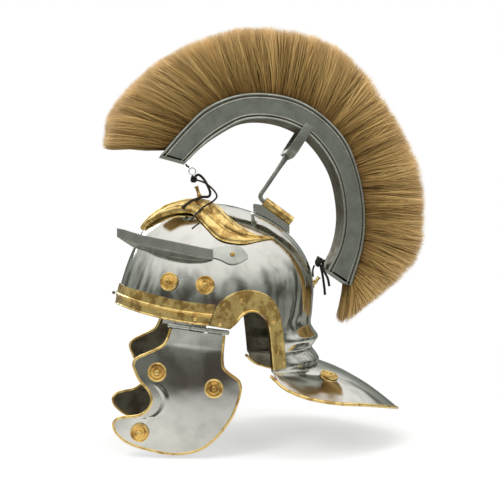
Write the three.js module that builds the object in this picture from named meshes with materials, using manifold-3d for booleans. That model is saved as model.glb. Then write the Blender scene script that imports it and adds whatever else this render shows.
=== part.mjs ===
import * as THREE from 'three';
import { mergeVertices } from 'three/addons/utils/BufferGeometryUtils.js';
import Module from 'manifold-3d';

// Roman helmet of the Imperial Gallic kind, in millimetres.
// The wearer faces -Y, the wearer's left is +X, and +Z is up.
// The origin is the inner crown of the bowl, where the head bears.

const wasm = await Module();
wasm.setup();

// General sizes
const SEAT = 0.6;
const GAP = 0.3;
const WALL = 1.6;
const SHEET = 1.4;

// Bowl: distance from its centre to its outer face, by angle from straight up
const BOWL_CENTRE_Z = -115;
const BOWL_SEGMENTS = 36;
const INNER_SEGMENTS = 30;
const BOWL_PROFILE = [
  { angle: 0, front: 116.6, side: 116.6, back: 116.6 },
  { angle: 15, front: 118.2, side: 115.8, back: 115.6 },
  { angle: 30, front: 121.4, side: 113.6, back: 116.8 },
  { angle: 45, front: 120.6, side: 110.4, back: 119.6 },
  { angle: 60, front: 115.6, side: 106.8, back: 122.0 },
  { angle: 75, front: 114.2, side: 104.2, back: 122.4 },
  { angle: 90, front: 117.2, side: 103.4, back: 119.4 },
];

// Nape: how far it stands out from the bowl's lowest section, by height
const NAPE_PROFILE = [
  { z: -192, rear: 5.0, side: 4.2 },
  { z: -185, rear: 7.4, side: 4.2 },
  { z: -178, rear: 3.4, side: 2.4 },
  { z: -171, rear: -1.2, side: 0.9 },
  { z: -165, rear: 2.4, side: 1.8 },
  { z: -158, rear: 6.2, side: 3.0 },
  { z: -150, rear: 1.0, side: 1.4 },
  { z: -143, rear: -2.5, side: 0.2 },
  { z: -130, rear: -1.2, side: 0 },
  { z: -115, rear: 0, side: 0 },
];
const NAPE_BOTTOM_Z = -192;

// Lower edge of the bowl seen from the side: along the brow, then up and over the ear
const BROW_EDGE = [
  { y: -118, z: -116.6 },
  { y: -100, z: -121.6 },
  { y: -81, z: -126.4 },
  { y: -63, z: -130.4 },
  { y: -40, z: -134.0 },
  { y: -17.5, z: -136.6 },
];

// Ear guard: inner and outer edge of the strip, from its front foot to its rear foot
const EAR_ARCH = [
  { innerY: 4.5, innerZ: -140.5, outerY: -17.0, outerZ: -136.4, lip: 1.0 },
  { innerY: 11.4, innerZ: -134.5, outerY: -10.8, outerZ: -117.5, lip: 1.6 },
  { innerY: 16.6, innerZ: -127.6, outerY: -1.0, outerZ: -106.5, lip: 3.6 },
  { innerY: 21.8, innerZ: -123.2, outerY: 12.5, outerZ: -99.8, lip: 4.8 },
  { innerY: 29.0, innerZ: -121.8, outerY: 27.0, outerZ: -98.3, lip: 5.4 },
  { innerY: 36.5, innerZ: -124.4, outerY: 41.5, outerZ: -101.5, lip: 5.6 },
  { innerY: 42.6, innerZ: -130.0, outerY: 54.0, outerZ: -110.5, lip: 5.8 },
  { innerY: 46.8, innerZ: -138.0, outerY: 61.5, outerZ: -126.0, lip: 6.0 },
  { innerY: 49.0, innerZ: -152.0, outerY: 65.3, outerZ: -146.0, lip: 6.0 },
  { innerY: 51.0, innerZ: -172.0, outerY: 68.0, outerZ: -168.0, lip: 6.0 },
  { innerY: 52.4, innerZ: -188.0, outerY: 69.4, outerZ: -187.0, lip: 6.0 },
];
const EAR_SEAT = 0.8;
const EAR_RIVETS = [
  { y: -6.5, z: -135.0 },
  { y: 17.3, z: -108.7 },
  { y: 54.0, z: -134.6 },
  { y: 59.2, z: -169.0 },
];

// Neck guard: its rim, by angle round the bowl from the front
const NECK_START = 118;
const PLATE_START = 121;
const NECK_BULGE = 8;
const RIM_CLEARANCE = 0.8;
const NECK_FOLD_Z = -190.6;
const NECK_RIM = [
  { angle: 118, x: 96, y: 51, z: -194.5 },
  { angle: 124, x: 112, y: 64, z: -206 },
  { angle: 132, x: 125, y: 88, z: -215 },
  { angle: 142, x: 127, y: 120, z: -221 },
  { angle: 152, x: 113, y: 155, z: -226 },
  { angle: 162, x: 84, y: 190, z: -234 },
  { angle: 171, x: 45, y: 216, z: -243 },
  { angle: 180, x: 0, y: 228, z: -250 },
  { angle: 189, x: -45, y: 216, z: -243 },
];

// Brow band: height of its top edge, its bead and its bottom edge, by angle from the front
const BAND_EDGES = [
  { angle: 0, top: -94.4, bead: -104.6, bottom: -116.4 },
  { angle: 20, top: -96.6, bead: -107.8, bottom: -119.6 },
  { angle: 40, top: -101.4, bead: -113.9, bottom: -126.0 },
  { angle: 58, top: -107.6, bead: -119.2, bottom: -131.6 },
  { angle: 75, top: -111.8, bead: -123.4, bottom: -135.6 },
  { angle: 90, top: -114.2, bead: -126.4, bottom: -138.2 },
];
const BAND_END_BOTTOM = 79.6;
const BAND_END_TOP = 84.0;
const BEAD_HEIGHT = 1.8;
const BAND_RIVET = { y: -33, z: -129.5 };

// Brow guard: the bent strip over the brow, by angle from the front
const BROW_GUARD = [
  { angle: 0, z: -50.0, reach: 21.5, rise: 34, height: 9.6 },
  { angle: 20, z: -51.8, reach: 21.5, rise: 31, height: 10.2 },
  { angle: 40, z: -56.6, reach: 21.0, rise: 25, height: 10.8 },
  { angle: 58, z: -61.2, reach: 18.0, rise: 22, height: 11.2 },
  { angle: 72, z: -63.6, reach: 10.0, rise: 20, height: 11.2 },
  { angle: 82, z: -63.2, reach: 0.4, rise: 12, height: 10.4 },
];
const EAR_PLATE = [
  { y: -20.0, low: -62.8, high: -54.0 },
  { y: -12.5, low: -62.5, high: -51.5 },
  { y: -4.0, low: -65.0, high: -50.4 },
  { y: 5.0, low: -69.4, high: -49.0 },
  { y: 12.0, low: -69.6, high: -48.6 },
  { y: 20.0, low: -66.8, high: -51.4 },
  { y: 26.5, low: -63.6, high: -59.6 },
];

// Eyebrow wing: outer and inner edge seen from above, and the relief's height
const EYEBROW = [
  { outerX: 9, outerY: -86, innerX: 0.8, innerY: -84, height: 3.4 },
  { outerX: 20, outerY: -76, innerX: 0.8, innerY: -76, height: 4.8 },
  { outerX: 27, outerY: -64, innerX: 0.8, innerY: -66, height: 5.8 },
  { outerX: 33, outerY: -52, innerX: 0.8, innerY: -54, height: 6.4 },
  { outerX: 40, outerY: -41, innerX: 0.8, innerY: -41, height: 6.6 },
  { outerX: 47, outerY: -31, innerX: 0.8, innerY: -27, height: 6.4 },
  { outerX: 60, outerY: -24, innerX: 14, innerY: -6, height: 5.6 },
  { outerX: 72, outerY: -16, innerX: 34, innerY: 2, height: 4.6 },
  { outerX: 80, outerY: -8, innerX: 50, innerY: 7, height: 4.2 },
  { outerX: 84, outerY: 4, innerX: 62, innerY: 15, height: 3.6 },
  { outerX: 83, outerY: 23, innerX: 69, innerY: 27, height: 3.0 },
  { outerX: 75, outerY: 42, innerX: 70, innerY: 41, height: 2.0 },
  { outerX: 63.6, outerY: 60, innerX: 62.4, innerY: 60, height: 1.0 },
];

// Rosettes and their seats
const ROSETTE_RADIUS = 10.6;
const ROSETTE_SEGMENTS = 8;
const BOWL_ROSETTES = [
  { y: -60.4, z: -88.7 },
  { y: -22.0, z: -92.0 },
];
const NECK_ROSETTE = { angle: 151, across: 0.4 };
const CHEEK_ROSETTES = [
  { along: -38.5, down: 51.7 },
  { along: 25.5, down: 61.4 },
  { along: -49.4, down: 121.0 },
];

// Cheek guard: its front and rear edge along the hinge line, by distance below the hinge
const HINGE_FRONT = new THREE.Vector3(90, -62.4, -136.1);
const HINGE_REAR = new THREE.Vector3(101, 4.2, -144.9);
const CHEEK_LEAN = 2;
const CHEEK_ROWS = [
  { down: 3.2, front: -32.0, rear: 30.6 },
  { down: 12, front: -33.5, rear: 30.9 },
  { down: 20, front: -36.4, rear: 31.2 },
  { down: 26.4, front: -44.3, rear: 31.8 },
  { down: 31.3, front: -52.1, rear: 32.6 },
  { down: 37.4, front: -62.1, rear: 34.7 },
  { down: 42.2, front: -66.3, rear: 41.0 },
  { down: 48.8, front: -67.1, rear: 52.0 },
  { down: 56.9, front: -63.0, rear: 56.2 },
  { down: 64.9, front: -57.6, rear: 56.2 },
  { down: 71.3, front: -49.3, rear: 55.3 },
  { down: 78.2, front: -43.6, rear: 54.0 },
  { down: 85.5, front: -42.3, rear: 52.3 },
  { down: 93.5, front: -45.0, rear: 49.6 },
  { down: 99.6, front: -51.2, rear: 46.6 },
  { down: 102.9, front: -59.4, rear: 44.8 },
  { down: 105.4, front: -69.8, rear: 43.4 },
  { down: 108.5, front: -76.9, rear: 41.6 },
  { down: 115.7, front: -81.4, rear: 37.0 },
  { down: 123.0, front: -79.5, rear: 30.9 },
  { down: 129.8, front: -73.3, rear: 24.0 },
  { down: 136.0, front: -62.9, rear: 14.0 },
  { down: 139.6, front: -49.5, rear: 4.0 },
  { down: 141.5, front: -35.3, rear: -4.0 },
  { down: 142.8, front: -22.0, rear: -12.0 },
];
const CHEEK_BEND = 19;
const CHEEK_STEP_OUT = 5;
const CHEEK_BULGE = 7;
const RIM_WIDTH = 3.0;
const RIM_HEIGHT = 3.4;

// Cheek guard hinge
const KNUCKLE_RADIUS = 2.6;
const KNUCKLE_BORE = 1.35;
const PIN_RADIUS = 1.05;
const HINGE_SIDES = 10;
const FRONT_KNUCKLE = { from: -34, to: -9.4 };
const MIDDLE_KNUCKLE = { from: -9.0, to: 9.4 };
const REAR_KNUCKLE = { from: 9.8, to: 34 };
const LEAF = 1.2;

// Crest box: outer and inner edge of its side faces, from its front end to its rear end
const CREST_ROWS = [
  { outerY: -66.5, outerZ: 57.9, innerY: -36.1, innerZ: 49.9 },
  { outerY: -38.4, outerZ: 90.5, innerY: -14.2, innerZ: 71.3 },
  { outerY: -12.0, outerZ: 115.0, innerY: 6.0, innerZ: 86.0 },
  { outerY: 22.0, outerZ: 130.0, innerY: 31.0, innerZ: 99.6 },
  { outerY: 58.0, outerZ: 133.6, innerY: 57.0, innerZ: 102.8 },
  { outerY: 97.0, outerZ: 126.7, innerY: 86.0, innerZ: 97.8 },
  { outerY: 132.0, outerZ: 106.5, innerY: 112.6, innerZ: 84.0 },
  { outerY: 160.0, outerZ: 75.0, innerY: 135.0, innerZ: 59.0 },
  { outerY: 176.0, outerZ: 31.5, innerY: 149.5, innerZ: 29.0 },
  { outerY: 182.0, outerZ: -12.8, innerY: 155.7, innerZ: -12.9 },
  { outerY: 178.8, outerZ: -52.0, innerY: 149.8, innerZ: -50.0 },
  { outerY: 164.8, outerZ: -98.6, innerY: 135.5, innerZ: -78.6 },
];
const CREST_HALF_WIDTH = 20;
const CREST_BEAD = 1.0;
const CREST_WALL = 1.6;
const CREST_STEPS = 18;

// Crest hair: where the tips of the brush lie, for the same rows as the crest box
const HAIR_TIPS = [
  { y: -136, z: 70 },
  { y: -127, z: 113 },
  { y: -85, z: 161 },
  { y: -22, z: 199.5 },
  { y: 45, z: 216.5 },
  { y: 112, z: 210 },
  { y: 172, z: 179 },
  { y: 222, z: 112 },
  { y: 256, z: 47 },
  { y: 263, z: -20 },
  { y: 246, z: -76 },
  { y: 158, z: -147 },
];
const HAIR_LOCKS = 20;
const HAIR_END = 0.02;
const HAIR_ROOT_HALF = 18;
const HAIR_TIP_HALF = 28;

// Crest fork and its socket, in the plane of symmetry
const SOCKET_FRONT = { y: 60.7, z: 4.4 };
const SOCKET_SLOPE = -35.5;
const SOCKET_LENGTH = 41.5;
const SOCKET_RADIUS = 6.2;
const SOCKET_BORE = 3.15;
const STEM_RADIUS = 2.8;
const STEM_BEND = { y: 53.8, z: 9.3 };
const FORK_BASE = { y: 88.5, z: 59.5 };
const FORK_LEAN = 33;
const FORK_WIDTH = 11.5;
const TINE = 3.0;
const TINE_TOP = 43.5;
const YOKE = 6.8;
const BRACKET_HALF_WIDTH = 9;

// Ties of the crest
const HOOK_FRONT = { y: -15.5, lean: -18, length: 23 };
const HOOK_REAR = { z: -99, lean: 40, length: 15 };
const KNOT_FRONT = { x: 0, y: -26.4, z: 31, radius: 4.3 };
const KNOT_REAR = { x: 0, y: 129.2, z: -69.5, radius: 6.6 };
const RING_FRONT = { y: -27.4, z: 40.4, radius: 4.2, wire: 0.6 };
const THONGS = [
  {
    name: 'thong_front_long',
    width: 3.2,
    points: [
      [4.6, -25.5, 32.5], [6.3, -23.3, 34.7], [8.0, -21.0, 36.0], [9.6, -18.0, 34.3],
      [11.0, -15.0, 31.0], [12.5, -12.2, 26.7], [14.0, -10.0, 22.0], [15.4, -8.2, 17.5],
      [17.0, -7.5, 13.5], [18.9, -8.3, 11.0], [21.0, -10.0, 9.2], [23.5, -13.1, 8.7],
      [26.0, -17.0, 8.6], [29.0, -21.9, 7.2], [32.0, -27.0, 5.2], [35.0, -31.6, 3.1],
      [38.0, -36.0, 0.6], [40.5, -39.6, -2.1], [43.0, -43.0, -5.0],
    ],
  },
  {
    name: 'thong_front_thin',
    width: 2.2,
    points: [
      [4.4, -28.5, 29.0], [6.4, -26.7, 29.5], [8.5, -24.5, 29.6], [11.6, -19.5, 28.4],
      [15.0, -14.0, 26.0], [19.2, -8.4, 21.6], [24.0, -4.0, 16.5], [28.9, -1.8, 12.4],
      [34.0, -1.5, 8.6], [38.6, -4.0, 5.3], [43.0, -8.0, 2.2], [47.6, -13.4, -0.8],
      [52.0, -19.0, -4.0], [56.2, -23.1, -7.5], [60.0, -27.0, -11.4], [63.1, -31.5, -16.1],
      [66.0, -36.0, -21.0],
    ],
  },
  {
    name: 'thong_rear_long',
    width: 3.0,
    points: [
      [3.4, 130.6, -75.6], [3.7, 131.1, -77.7], [4.0, 131.5, -79.7], [4.3, 132.0, -81.8],
      [4.6, 132.4, -84.0], [4.8, 132.8, -86.5], [5.0, 133.2, -89.0], [5.1, 133.5, -91.6],
      [5.2, 133.8, -94.0], [5.3, 134.1, -96.1], [5.4, 134.3, -98.1], [5.5, 134.6, -100.0],
      [5.6, 134.8, -102.0], [5.7, 135.0, -104.0], [5.8, 135.1, -106.0], [5.9, 135.3, -108.0],
      [6.0, 135.4, -110.0],
    ],
  },
  { name: 'thong_front_loop', width: 2.2, points: [[0, -35.4, 49.1], [0, -33.4, 46.6], [0, -31, 45.3]] },
  { name: 'thong_rear_short', width: 3.0, points: [[6.2, 132.6, -72.6], [9, 133.4, -80], [11, 137.5, -89], [11.6, 139.6, -99]] },
  { name: 'thong_rear_loop', width: 2.2, points: [[-4.6, 124.4, -73.6], [-5.6, 122.6, -80], [-5.6, 123.2, -88]] },
];

// Finishes
const STEEL = { color: 0xb9bcb4, roughness: 0.16, metalness: 1.0 };
const DARK_STEEL = { color: 0x7f8378, roughness: 0.38, metalness: 1.0 };
const BRASS = { color: 0xd9ae5c, roughness: 0.22, metalness: 1.0 };
const HAIR = { color: 0xa57f4c, roughness: 0.85, metalness: 0.0 };
const LEATHER = { color: 0x17140f, roughness: 0.7, metalness: 0.0 };

const helmet = new THREE.Group();

function radians(angle) {
  return THREE.MathUtils.degToRad(angle);
}

// A table's column at a key between its rows, on a smooth curve
function smooth(table, keyName, key, column) {
  const last = table.length - 1;
  let i = 0;
  while (i < last - 1 && key > table[i + 1][keyName]) {
    i += 1;
  }
  const slopeAt = (k) => {
    const a = table[Math.max(k - 1, 0)];
    const b = table[Math.min(k + 1, last)];
    return (b[column] - a[column]) / (b[keyName] - a[keyName]);
  };
  const width = table[i + 1][keyName] - table[i][keyName];
  const t = THREE.MathUtils.clamp((key - table[i][keyName]) / width, 0, 1);
  const t2 = t * t;
  const t3 = t2 * t;
  return (2 * t3 - 3 * t2 + 1) * table[i][column]
    + (t3 - 2 * t2 + t) * width * slopeAt(i)
    + (3 * t2 - 2 * t3) * table[i + 1][column]
    + (t3 - t2) * width * slopeAt(i + 1);
}

// A table's column at a share of its length, row by row
function smoothShare(table, share, column) {
  const numbered = table.map((row, k) => ({ ...row, k }));
  return smooth(numbered, 'k', share * (table.length - 1), column);
}

// One closed body from a geometry whose points are moved by a function
function solid(geometry, move = (p) => p) {
  const source = geometry.index ? geometry.toNonIndexed() : geometry;
  const places = source.getAttribute('position');
  const point = new THREE.Vector3();
  for (let i = 0; i < places.count; i += 1) {
    point.fromBufferAttribute(places, i);
    const moved = move(point.clone());
    places.setXYZ(i, moved.x, moved.y, moved.z);
  }
  const bare = new THREE.BufferGeometry();
  bare.setAttribute('position', places);
  const merged = mergeVertices(bare, 1e-3);
  const kept = [];
  const index = merged.index.array;
  for (let i = 0; i < index.length; i += 3) {
    const [a, b, c] = [index[i], index[i + 1], index[i + 2]];
    if (a !== b && b !== c && c !== a) {
      kept.push(a, b, c);
    }
  }
  if (signedVolume(merged, kept) < 0) {
    for (let i = 0; i < kept.length; i += 3) {
      [kept[i], kept[i + 1]] = [kept[i + 1], kept[i]];
    }
  }
  merged.setIndex(kept);
  return merged;
}

function signedVolume(geometry, index) {
  const places = geometry.getAttribute('position');
  const a = new THREE.Vector3();
  const b = new THREE.Vector3();
  const c = new THREE.Vector3();
  let volume = 0;
  for (let i = 0; i < index.length; i += 3) {
    a.fromBufferAttribute(places, index[i]);
    b.fromBufferAttribute(places, index[i + 1]);
    c.fromBufferAttribute(places, index[i + 2]);
    volume += a.dot(b.cross(c)) / 6;
  }
  return volume;
}

// A unit box bent to shape: u along, v across and w through it, each from 0 to 1
function bentBox(columns, rows, place, layers = 1) {
  const box = new THREE.BoxGeometry(1, 1, 1, columns, rows, layers);
  return solid(box, (p) => place(p.x + 0.5, 0.5 - p.y, p.z + 0.5));
}

// A section carried along a path: place gives the point of section (a, b) at share t
function sweep(section, steps, place) {
  const outline = new THREE.Shape(section.map(([a, b]) => new THREE.Vector2(a, b)));
  const bar = new THREE.ExtrudeGeometry(outline, { depth: 1, steps, bevelEnabled: false });
  return solid(bar, (p) => place(p.z, p.x, p.y));
}

// An outline in the plane of symmetry, given as y and z, with a thickness across X
function sidePlate(points, halfWidth) {
  const outline = new THREE.Shape(points.map(([y, z]) => new THREE.Vector2(y, z)));
  const plate = new THREE.ExtrudeGeometry(outline, { depth: 2 * halfWidth, bevelEnabled: false });
  return solid(plate, (p) => new THREE.Vector3(p.z - halfWidth, p.x, p.y));
}

// A turned piece standing on its base along +Z: rows of radius and height
function turned(profile, segments) {
  const points = profile.map(([radius, height]) => new THREE.Vector2(radius, height));
  const body = new THREE.LatheGeometry(points, segments);
  return solid(body, (p) => new THREE.Vector3(p.x, -p.z, p.y));
}

function rod(points, radius, sides, steps) {
  const circle = new THREE.Shape();
  circle.absarc(0, 0, radius, 0, 2 * Math.PI);
  const round = circle.getPoints(sides).slice(0, sides).map((p) => new THREE.Vector2(p.x, p.y));
  const path = points instanceof THREE.Curve ? points : new THREE.CatmullRomCurve3(points);
  const bar = new THREE.ExtrudeGeometry(new THREE.Shape(round), { steps, extrudePath: path, bevelEnabled: false });
  return solid(bar);
}

function toManifold(geometry) {
  const places = geometry.getAttribute('position').array;
  return new wasm.Manifold(new wasm.Mesh({
    numProp: 3,
    vertProperties: Float32Array.from(places),
    triVerts: Uint32Array.from(geometry.index.array),
  }));
}

function fromManifold(body) {
  const mesh = body.getMesh();
  const geometry = new THREE.BufferGeometry();
  geometry.setAttribute('position', new THREE.BufferAttribute(Float32Array.from(mesh.vertProperties), 3));
  geometry.setIndex(Array.from(mesh.triVerts));
  return geometry;
}

function joined(...geometries) {
  return fromManifold(geometries.map(toManifold).reduce((sum, body) => sum.add(body)));
}

function cut(geometry, ...tools) {
  return fromManifold(tools.map(toManifold).reduce((rest, tool) => rest.subtract(tool), toManifold(geometry)));
}

function addPiece(parent, name, geometry, finish) {
  const shaded = geometry.toNonIndexed();
  shaded.computeVertexNormals();
  const piece = new THREE.Mesh(mergeVertices(shaded), new THREE.MeshStandardMaterial(finish));
  piece.name = name;
  parent.add(piece);
  return piece;
}

// Distance from the bowl's centre to its outer face, by turn from the front and tilt from straight up
function bowlReach(turn, tilt) {
  const lengthwise = Math.cos(turn) >= 0 ? 'front' : 'back';
  const long = smooth(BOWL_PROFILE, 'angle', THREE.MathUtils.radToDeg(tilt), lengthwise);
  const wide = smooth(BOWL_PROFILE, 'angle', THREE.MathUtils.radToDeg(tilt), 'side');
  return 1 / Math.hypot(Math.cos(turn) / long, Math.sin(turn) / wide);
}

// Distance from the bowl's upright axis to its outer face below the centre
function napeRadius(turn, z) {
  const behind = THREE.MathUtils.clamp(1 - (1 + Math.cos(turn)), 0, 1);
  const share = THREE.MathUtils.smoothstep(behind, 0.1, 1);
  const fade = THREE.MathUtils.smoothstep(-Math.cos(turn), 0.5, 0.85);
  const side = smooth(NAPE_PROFILE, 'z', z, 'side');
  const rear = smooth(NAPE_PROFILE, 'z', z, 'rear');
  return bowlReach(turn, Math.PI / 2) + fade * THREE.MathUtils.lerp(side, rear, share);
}

// Negative inside the bowl's outer face, positive outside
function outsideBowl(p) {
  const turn = Math.atan2(p.x, -p.y);
  const flat = Math.hypot(p.x, p.y);
  const rise = p.z - BOWL_CENTRE_Z;
  if (rise < 0) {
    return flat - napeRadius(turn, p.z);
  }
  return Math.hypot(flat, rise) - bowlReach(turn, Math.atan2(flat, rise));
}

function bowlNormal(p) {
  const step = 0.4;
  const normal = new THREE.Vector3();
  for (const axis of ['x', 'y', 'z']) {
    const ahead = p.clone();
    const behind = p.clone();
    ahead[axis] += step;
    behind[axis] -= step;
    normal[axis] = outsideBowl(ahead) - outsideBowl(behind);
  }
  return normal.normalize();
}

// The point where a straight search from inside to outside leaves the bowl
function leaveBowl(inside, outside) {
  let low = 0;
  let high = 1;
  for (let i = 0; i < 30; i += 1) {
    const middle = (low + high) / 2;
    if (outsideBowl(inside.clone().lerp(outside, middle)) < 0) {
      low = middle;
    } else {
      high = middle;
    }
  }
  return inside.clone().lerp(outside, low);
}

// Points on the bowl, found from the side, from above and by angle and height
function fromSide(y, z, lift = 0, side = 1) {
  const p = leaveBowl(new THREE.Vector3(0, y, z), new THREE.Vector3(150 * side, y, z));
  return p.addScaledVector(bowlNormal(p), lift);
}

function fromAbove(x, y, lift = 0) {
  const p = leaveBowl(new THREE.Vector3(x, y, BOWL_CENTRE_Z + 1), new THREE.Vector3(x, y, 40));
  return p.addScaledVector(bowlNormal(p), lift);
}

function atAngle(angle, z, lift = 0) {
  const far = new THREE.Vector3(170 * Math.sin(radians(angle)), -170 * Math.cos(radians(angle)), z);
  const p = leaveBowl(new THREE.Vector3(0, 0, z), far);
  return p.addScaledVector(bowlNormal(p), lift);
}

// Turns a piece that stands along +Z so that it stands on a face
function standOn(piece, seat, normal) {
  piece.position.copy(seat);
  piece.quaternion.setFromUnitVectors(new THREE.Vector3(0, 0, 1), normal);
}

// Bowl with nape and neck guard, one raised plate
function bowlBody(inset, bottom, segments, napeRows) {
  const tiltRows = 8;
  const rows = tiltRows + napeRows.length + 2;
  const ball = new THREE.SphereGeometry(1, segments, rows);
  return solid(ball, (p) => {
    const turn = Math.atan2(p.x, p.z);
    const row = Math.round(Math.acos(THREE.MathUtils.clamp(p.y, -1, 1)) / Math.PI * rows);
    if (row <= tiltRows) {
      const tilt = Math.PI / 2 * row / tiltRows;
      const reach = bowlReach(turn, tilt) - inset;
      return new THREE.Vector3(
        reach * Math.sin(tilt) * Math.sin(turn),
        -reach * Math.sin(tilt) * Math.cos(turn),
        BOWL_CENTRE_Z + reach * Math.cos(tilt),
      );
    }
    if (row === rows) {
      return new THREE.Vector3(0, 0, bottom);
    }
    const z = row - tiltRows - 1 < napeRows.length ? napeRows[row - tiltRows - 1] : bottom;
    const radius = napeRadius(turn, Math.max(z, NAPE_BOTTOM_Z)) - inset;
    return new THREE.Vector3(radius * Math.sin(turn), -radius * Math.cos(turn), z);
  });
}

function belowEdge() {
  const arch = [];
  const archSteps = 14;
  for (let i = 0; i <= archSteps; i += 1) {
    const share = i / archSteps;
    arch.push([smoothShare(EAR_ARCH, share, 'innerY') + SEAT, smoothShare(EAR_ARCH, share, 'innerZ') + SEAT]);
  }
  const low = NAPE_BOTTOM_Z - 100;
  return sidePlate([
    [-200, BROW_EDGE[0].z + 16],
    ...BROW_EDGE.map((row) => [row.y, row.z]),
    ...arch,
    [54, NAPE_BOTTOM_Z],
    [200, NAPE_BOTTOM_Z],
    [200, low],
    [-200, low],
  ], 200);
}

// The neck guard's rim by angle round the bowl, moved inward by an inset
function neckEdge(angle, inset) {
  const from = angle > 180 ? 360 - angle : angle;
  const at = (place) => new THREE.Vector3(
    smooth(NECK_RIM, 'angle', place, 'x'),
    smooth(NECK_RIM, 'angle', place, 'y'),
    smooth(NECK_RIM, 'angle', place, 'z'),
  );
  const along = at(Math.min(from + 0.5, 181)).sub(at(Math.max(from - 0.5, NECK_START)));
  const inward = new THREE.Vector3(-along.y, along.x, 0).normalize();
  const p = at(from).addScaledVector(inward, inset);
  p.x = from === 180 ? 0 : p.x;
  return angle > 180 ? p.setX(-p.x) : p;
}

// A point of the neck guard: angle round the bowl, share from fold to rim, drop below its top face
function neckPoint(angle, across, drop) {
  const fold = napeRadius(radians(Math.min(angle, 360 - angle)), NECK_FOLD_Z) - WALL / 2;
  const start = new THREE.Vector3(fold * Math.sin(radians(angle)), -fold * Math.cos(radians(angle)), NECK_FOLD_Z);
  const p = start.lerp(neckEdge(angle, RIM_WIDTH + RIM_CLEARANCE), across);
  const behind = THREE.MathUtils.smoothstep(Math.min(angle, 360 - angle), 125, 165);
  p.z += NECK_BULGE * behind * Math.sin(Math.PI * across) - drop;
  return p;
}

function neckAngle(u, start = NECK_START) {
  return THREE.MathUtils.lerp(start, 360 - start, u);
}

const OUTER_ROWS = [-127, -140, -150, -154, -158, -162, -170, -177, -181, -185, -189];
const INNER_ROWS = [-130, -146, -153, -158, -164, -170, -179, -185, -190];
const NECK_STEPS = 24;
const outerBody = bowlBody(0, -200, BOWL_SEGMENTS, OUTER_ROWS);
const innerBody = bowlBody(WALL, -206, INNER_SEGMENTS, INNER_ROWS);
const neckPlate = bentBox(NECK_STEPS, 3, (u, v, w) => neckPoint(neckAngle(u, PLATE_START), v, w * WALL * 1.2));
const shell = cut(outerBody, innerBody, belowEdge());
addPiece(helmet, 'bowl', joined(shell, neckPlate), STEEL);

// Brass edging round the neck guard's rim
const NECK_RIM_SECTION = [
  [0, -3.0],
  [RIM_WIDTH, -3.0],
  [RIM_WIDTH, 1.2],
  [0, 1.2],
];

function neckRimPoint(t, a, b) {
  return neckEdge(neckAngle(t), a).add(new THREE.Vector3(0, 0, b));
}

const neckRim = sweep(NECK_RIM_SECTION, NECK_STEPS, neckRimPoint);
addPiece(helmet, 'neck_rim', neckRim, BRASS);

// Brow band with its bead and a finer line below it
const BAND_ROWS = [
  { share: 0, raised: 0 },
  { share: 0.36, raised: 0 },
  { share: 0.43, raised: 1 },
  { share: 0.5, raised: 0 },
  { share: 0.76, raised: 0.15 },
  { share: 1, raised: 0 },
];
const band = bentBox(20, BAND_ROWS.length - 1, (u, v, w) => {
  const row = BAND_ROWS[Math.round(v * (BAND_ROWS.length - 1))];
  const end = THREE.MathUtils.lerp(BAND_END_TOP, BAND_END_BOTTOM, v);
  const angle = (2 * u - 1) * end;
  const top = smooth(BAND_EDGES, 'angle', Math.abs(angle), 'top');
  const bottom = smooth(BAND_EDGES, 'angle', Math.abs(angle), 'bottom');
  const z = THREE.MathUtils.lerp(top, bottom, row.share);
  return atAngle(angle, z, SEAT + w * (SHEET + row.raised * BEAD_HEIGHT));
});
addPiece(helmet, 'brow_band', band, BRASS);

// Ear guards: a strip on the bowl whose inner edge turns outward as a lip
const EAR_SECTION = [
  [0, 0],
  [0.5, 0],
  [1, 0],
  [1, 1],
  [0.5, 1],
  [0.08, 1],
  [0.08, 2],
  [0, 2],
];

function earPoint(side, t, a, b) {
  const y = THREE.MathUtils.lerp(smoothShare(EAR_ARCH, t, 'innerY'), smoothShare(EAR_ARCH, t, 'outerY'), a);
  const z = THREE.MathUtils.lerp(smoothShare(EAR_ARCH, t, 'innerZ'), smoothShare(EAR_ARCH, t, 'outerZ'), a);
  const lip = smoothShare(EAR_ARCH, t, 'lip');
  const lifts = [EAR_SEAT, EAR_SEAT + SHEET, EAR_SEAT + SHEET + lip];
  return fromSide(y, z, lifts[Math.round(b)], side);
}

for (const [word, side] of [['left', 1], ['right', -1]]) {
  const guard = sweep(EAR_SECTION, 18, (t, a, b) => earPoint(side, t, a, b));
  addPiece(helmet, `ear_guard_${word}`, guard, BRASS);
}

// Brow guard: an L-section strip bent round the front, flattened into a riveted plate at each end
function browGuardPoint(t, a, b) {
  const angle = THREE.MathUtils.lerp(-82, 82, t);
  const column = (name) => smooth(BROW_GUARD, 'angle', Math.abs(angle), name);
  const seat = atAngle(angle, column('z'), SEAT);
  const rise = radians(column('rise'));
  const flat = new THREE.Vector3(Math.sin(radians(angle)), -Math.cos(radians(angle)), 0);
  const reach = column('reach');
  const out = [0, reach, reach + SHEET][a];
  const up = [0, SHEET, column('height')][b];
  seat.addScaledVector(flat, out * Math.cos(rise));
  seat.z += out * Math.sin(rise) + up;
  return seat;
}

const BROW_SECTION = [
  [0, 0],
  [2, 0],
  [2, 2],
  [1, 2],
  [1, 1],
  [0, 1],
];
const browStrip = sweep(BROW_SECTION, 22, browGuardPoint);
const browEnds = [1, -1].map((side) => bentBox(EAR_PLATE.length - 1, 2, (u, v, w) => {
  const row = EAR_PLATE[Math.round(u * (EAR_PLATE.length - 1))];
  return fromSide(row.y, THREE.MathUtils.lerp(row.high, row.low, v), SEAT + w * SHEET, side);
}));
addPiece(helmet, 'brow_guard', joined(browStrip, ...browEnds), DARK_STEEL);

// Eyebrows: a raised wing on each side, joined at the middle of the brow and pointed behind
const WING_RELIEF = [0.15, 0.85, 0.35, 1, 0.45, 0.15];

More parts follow.
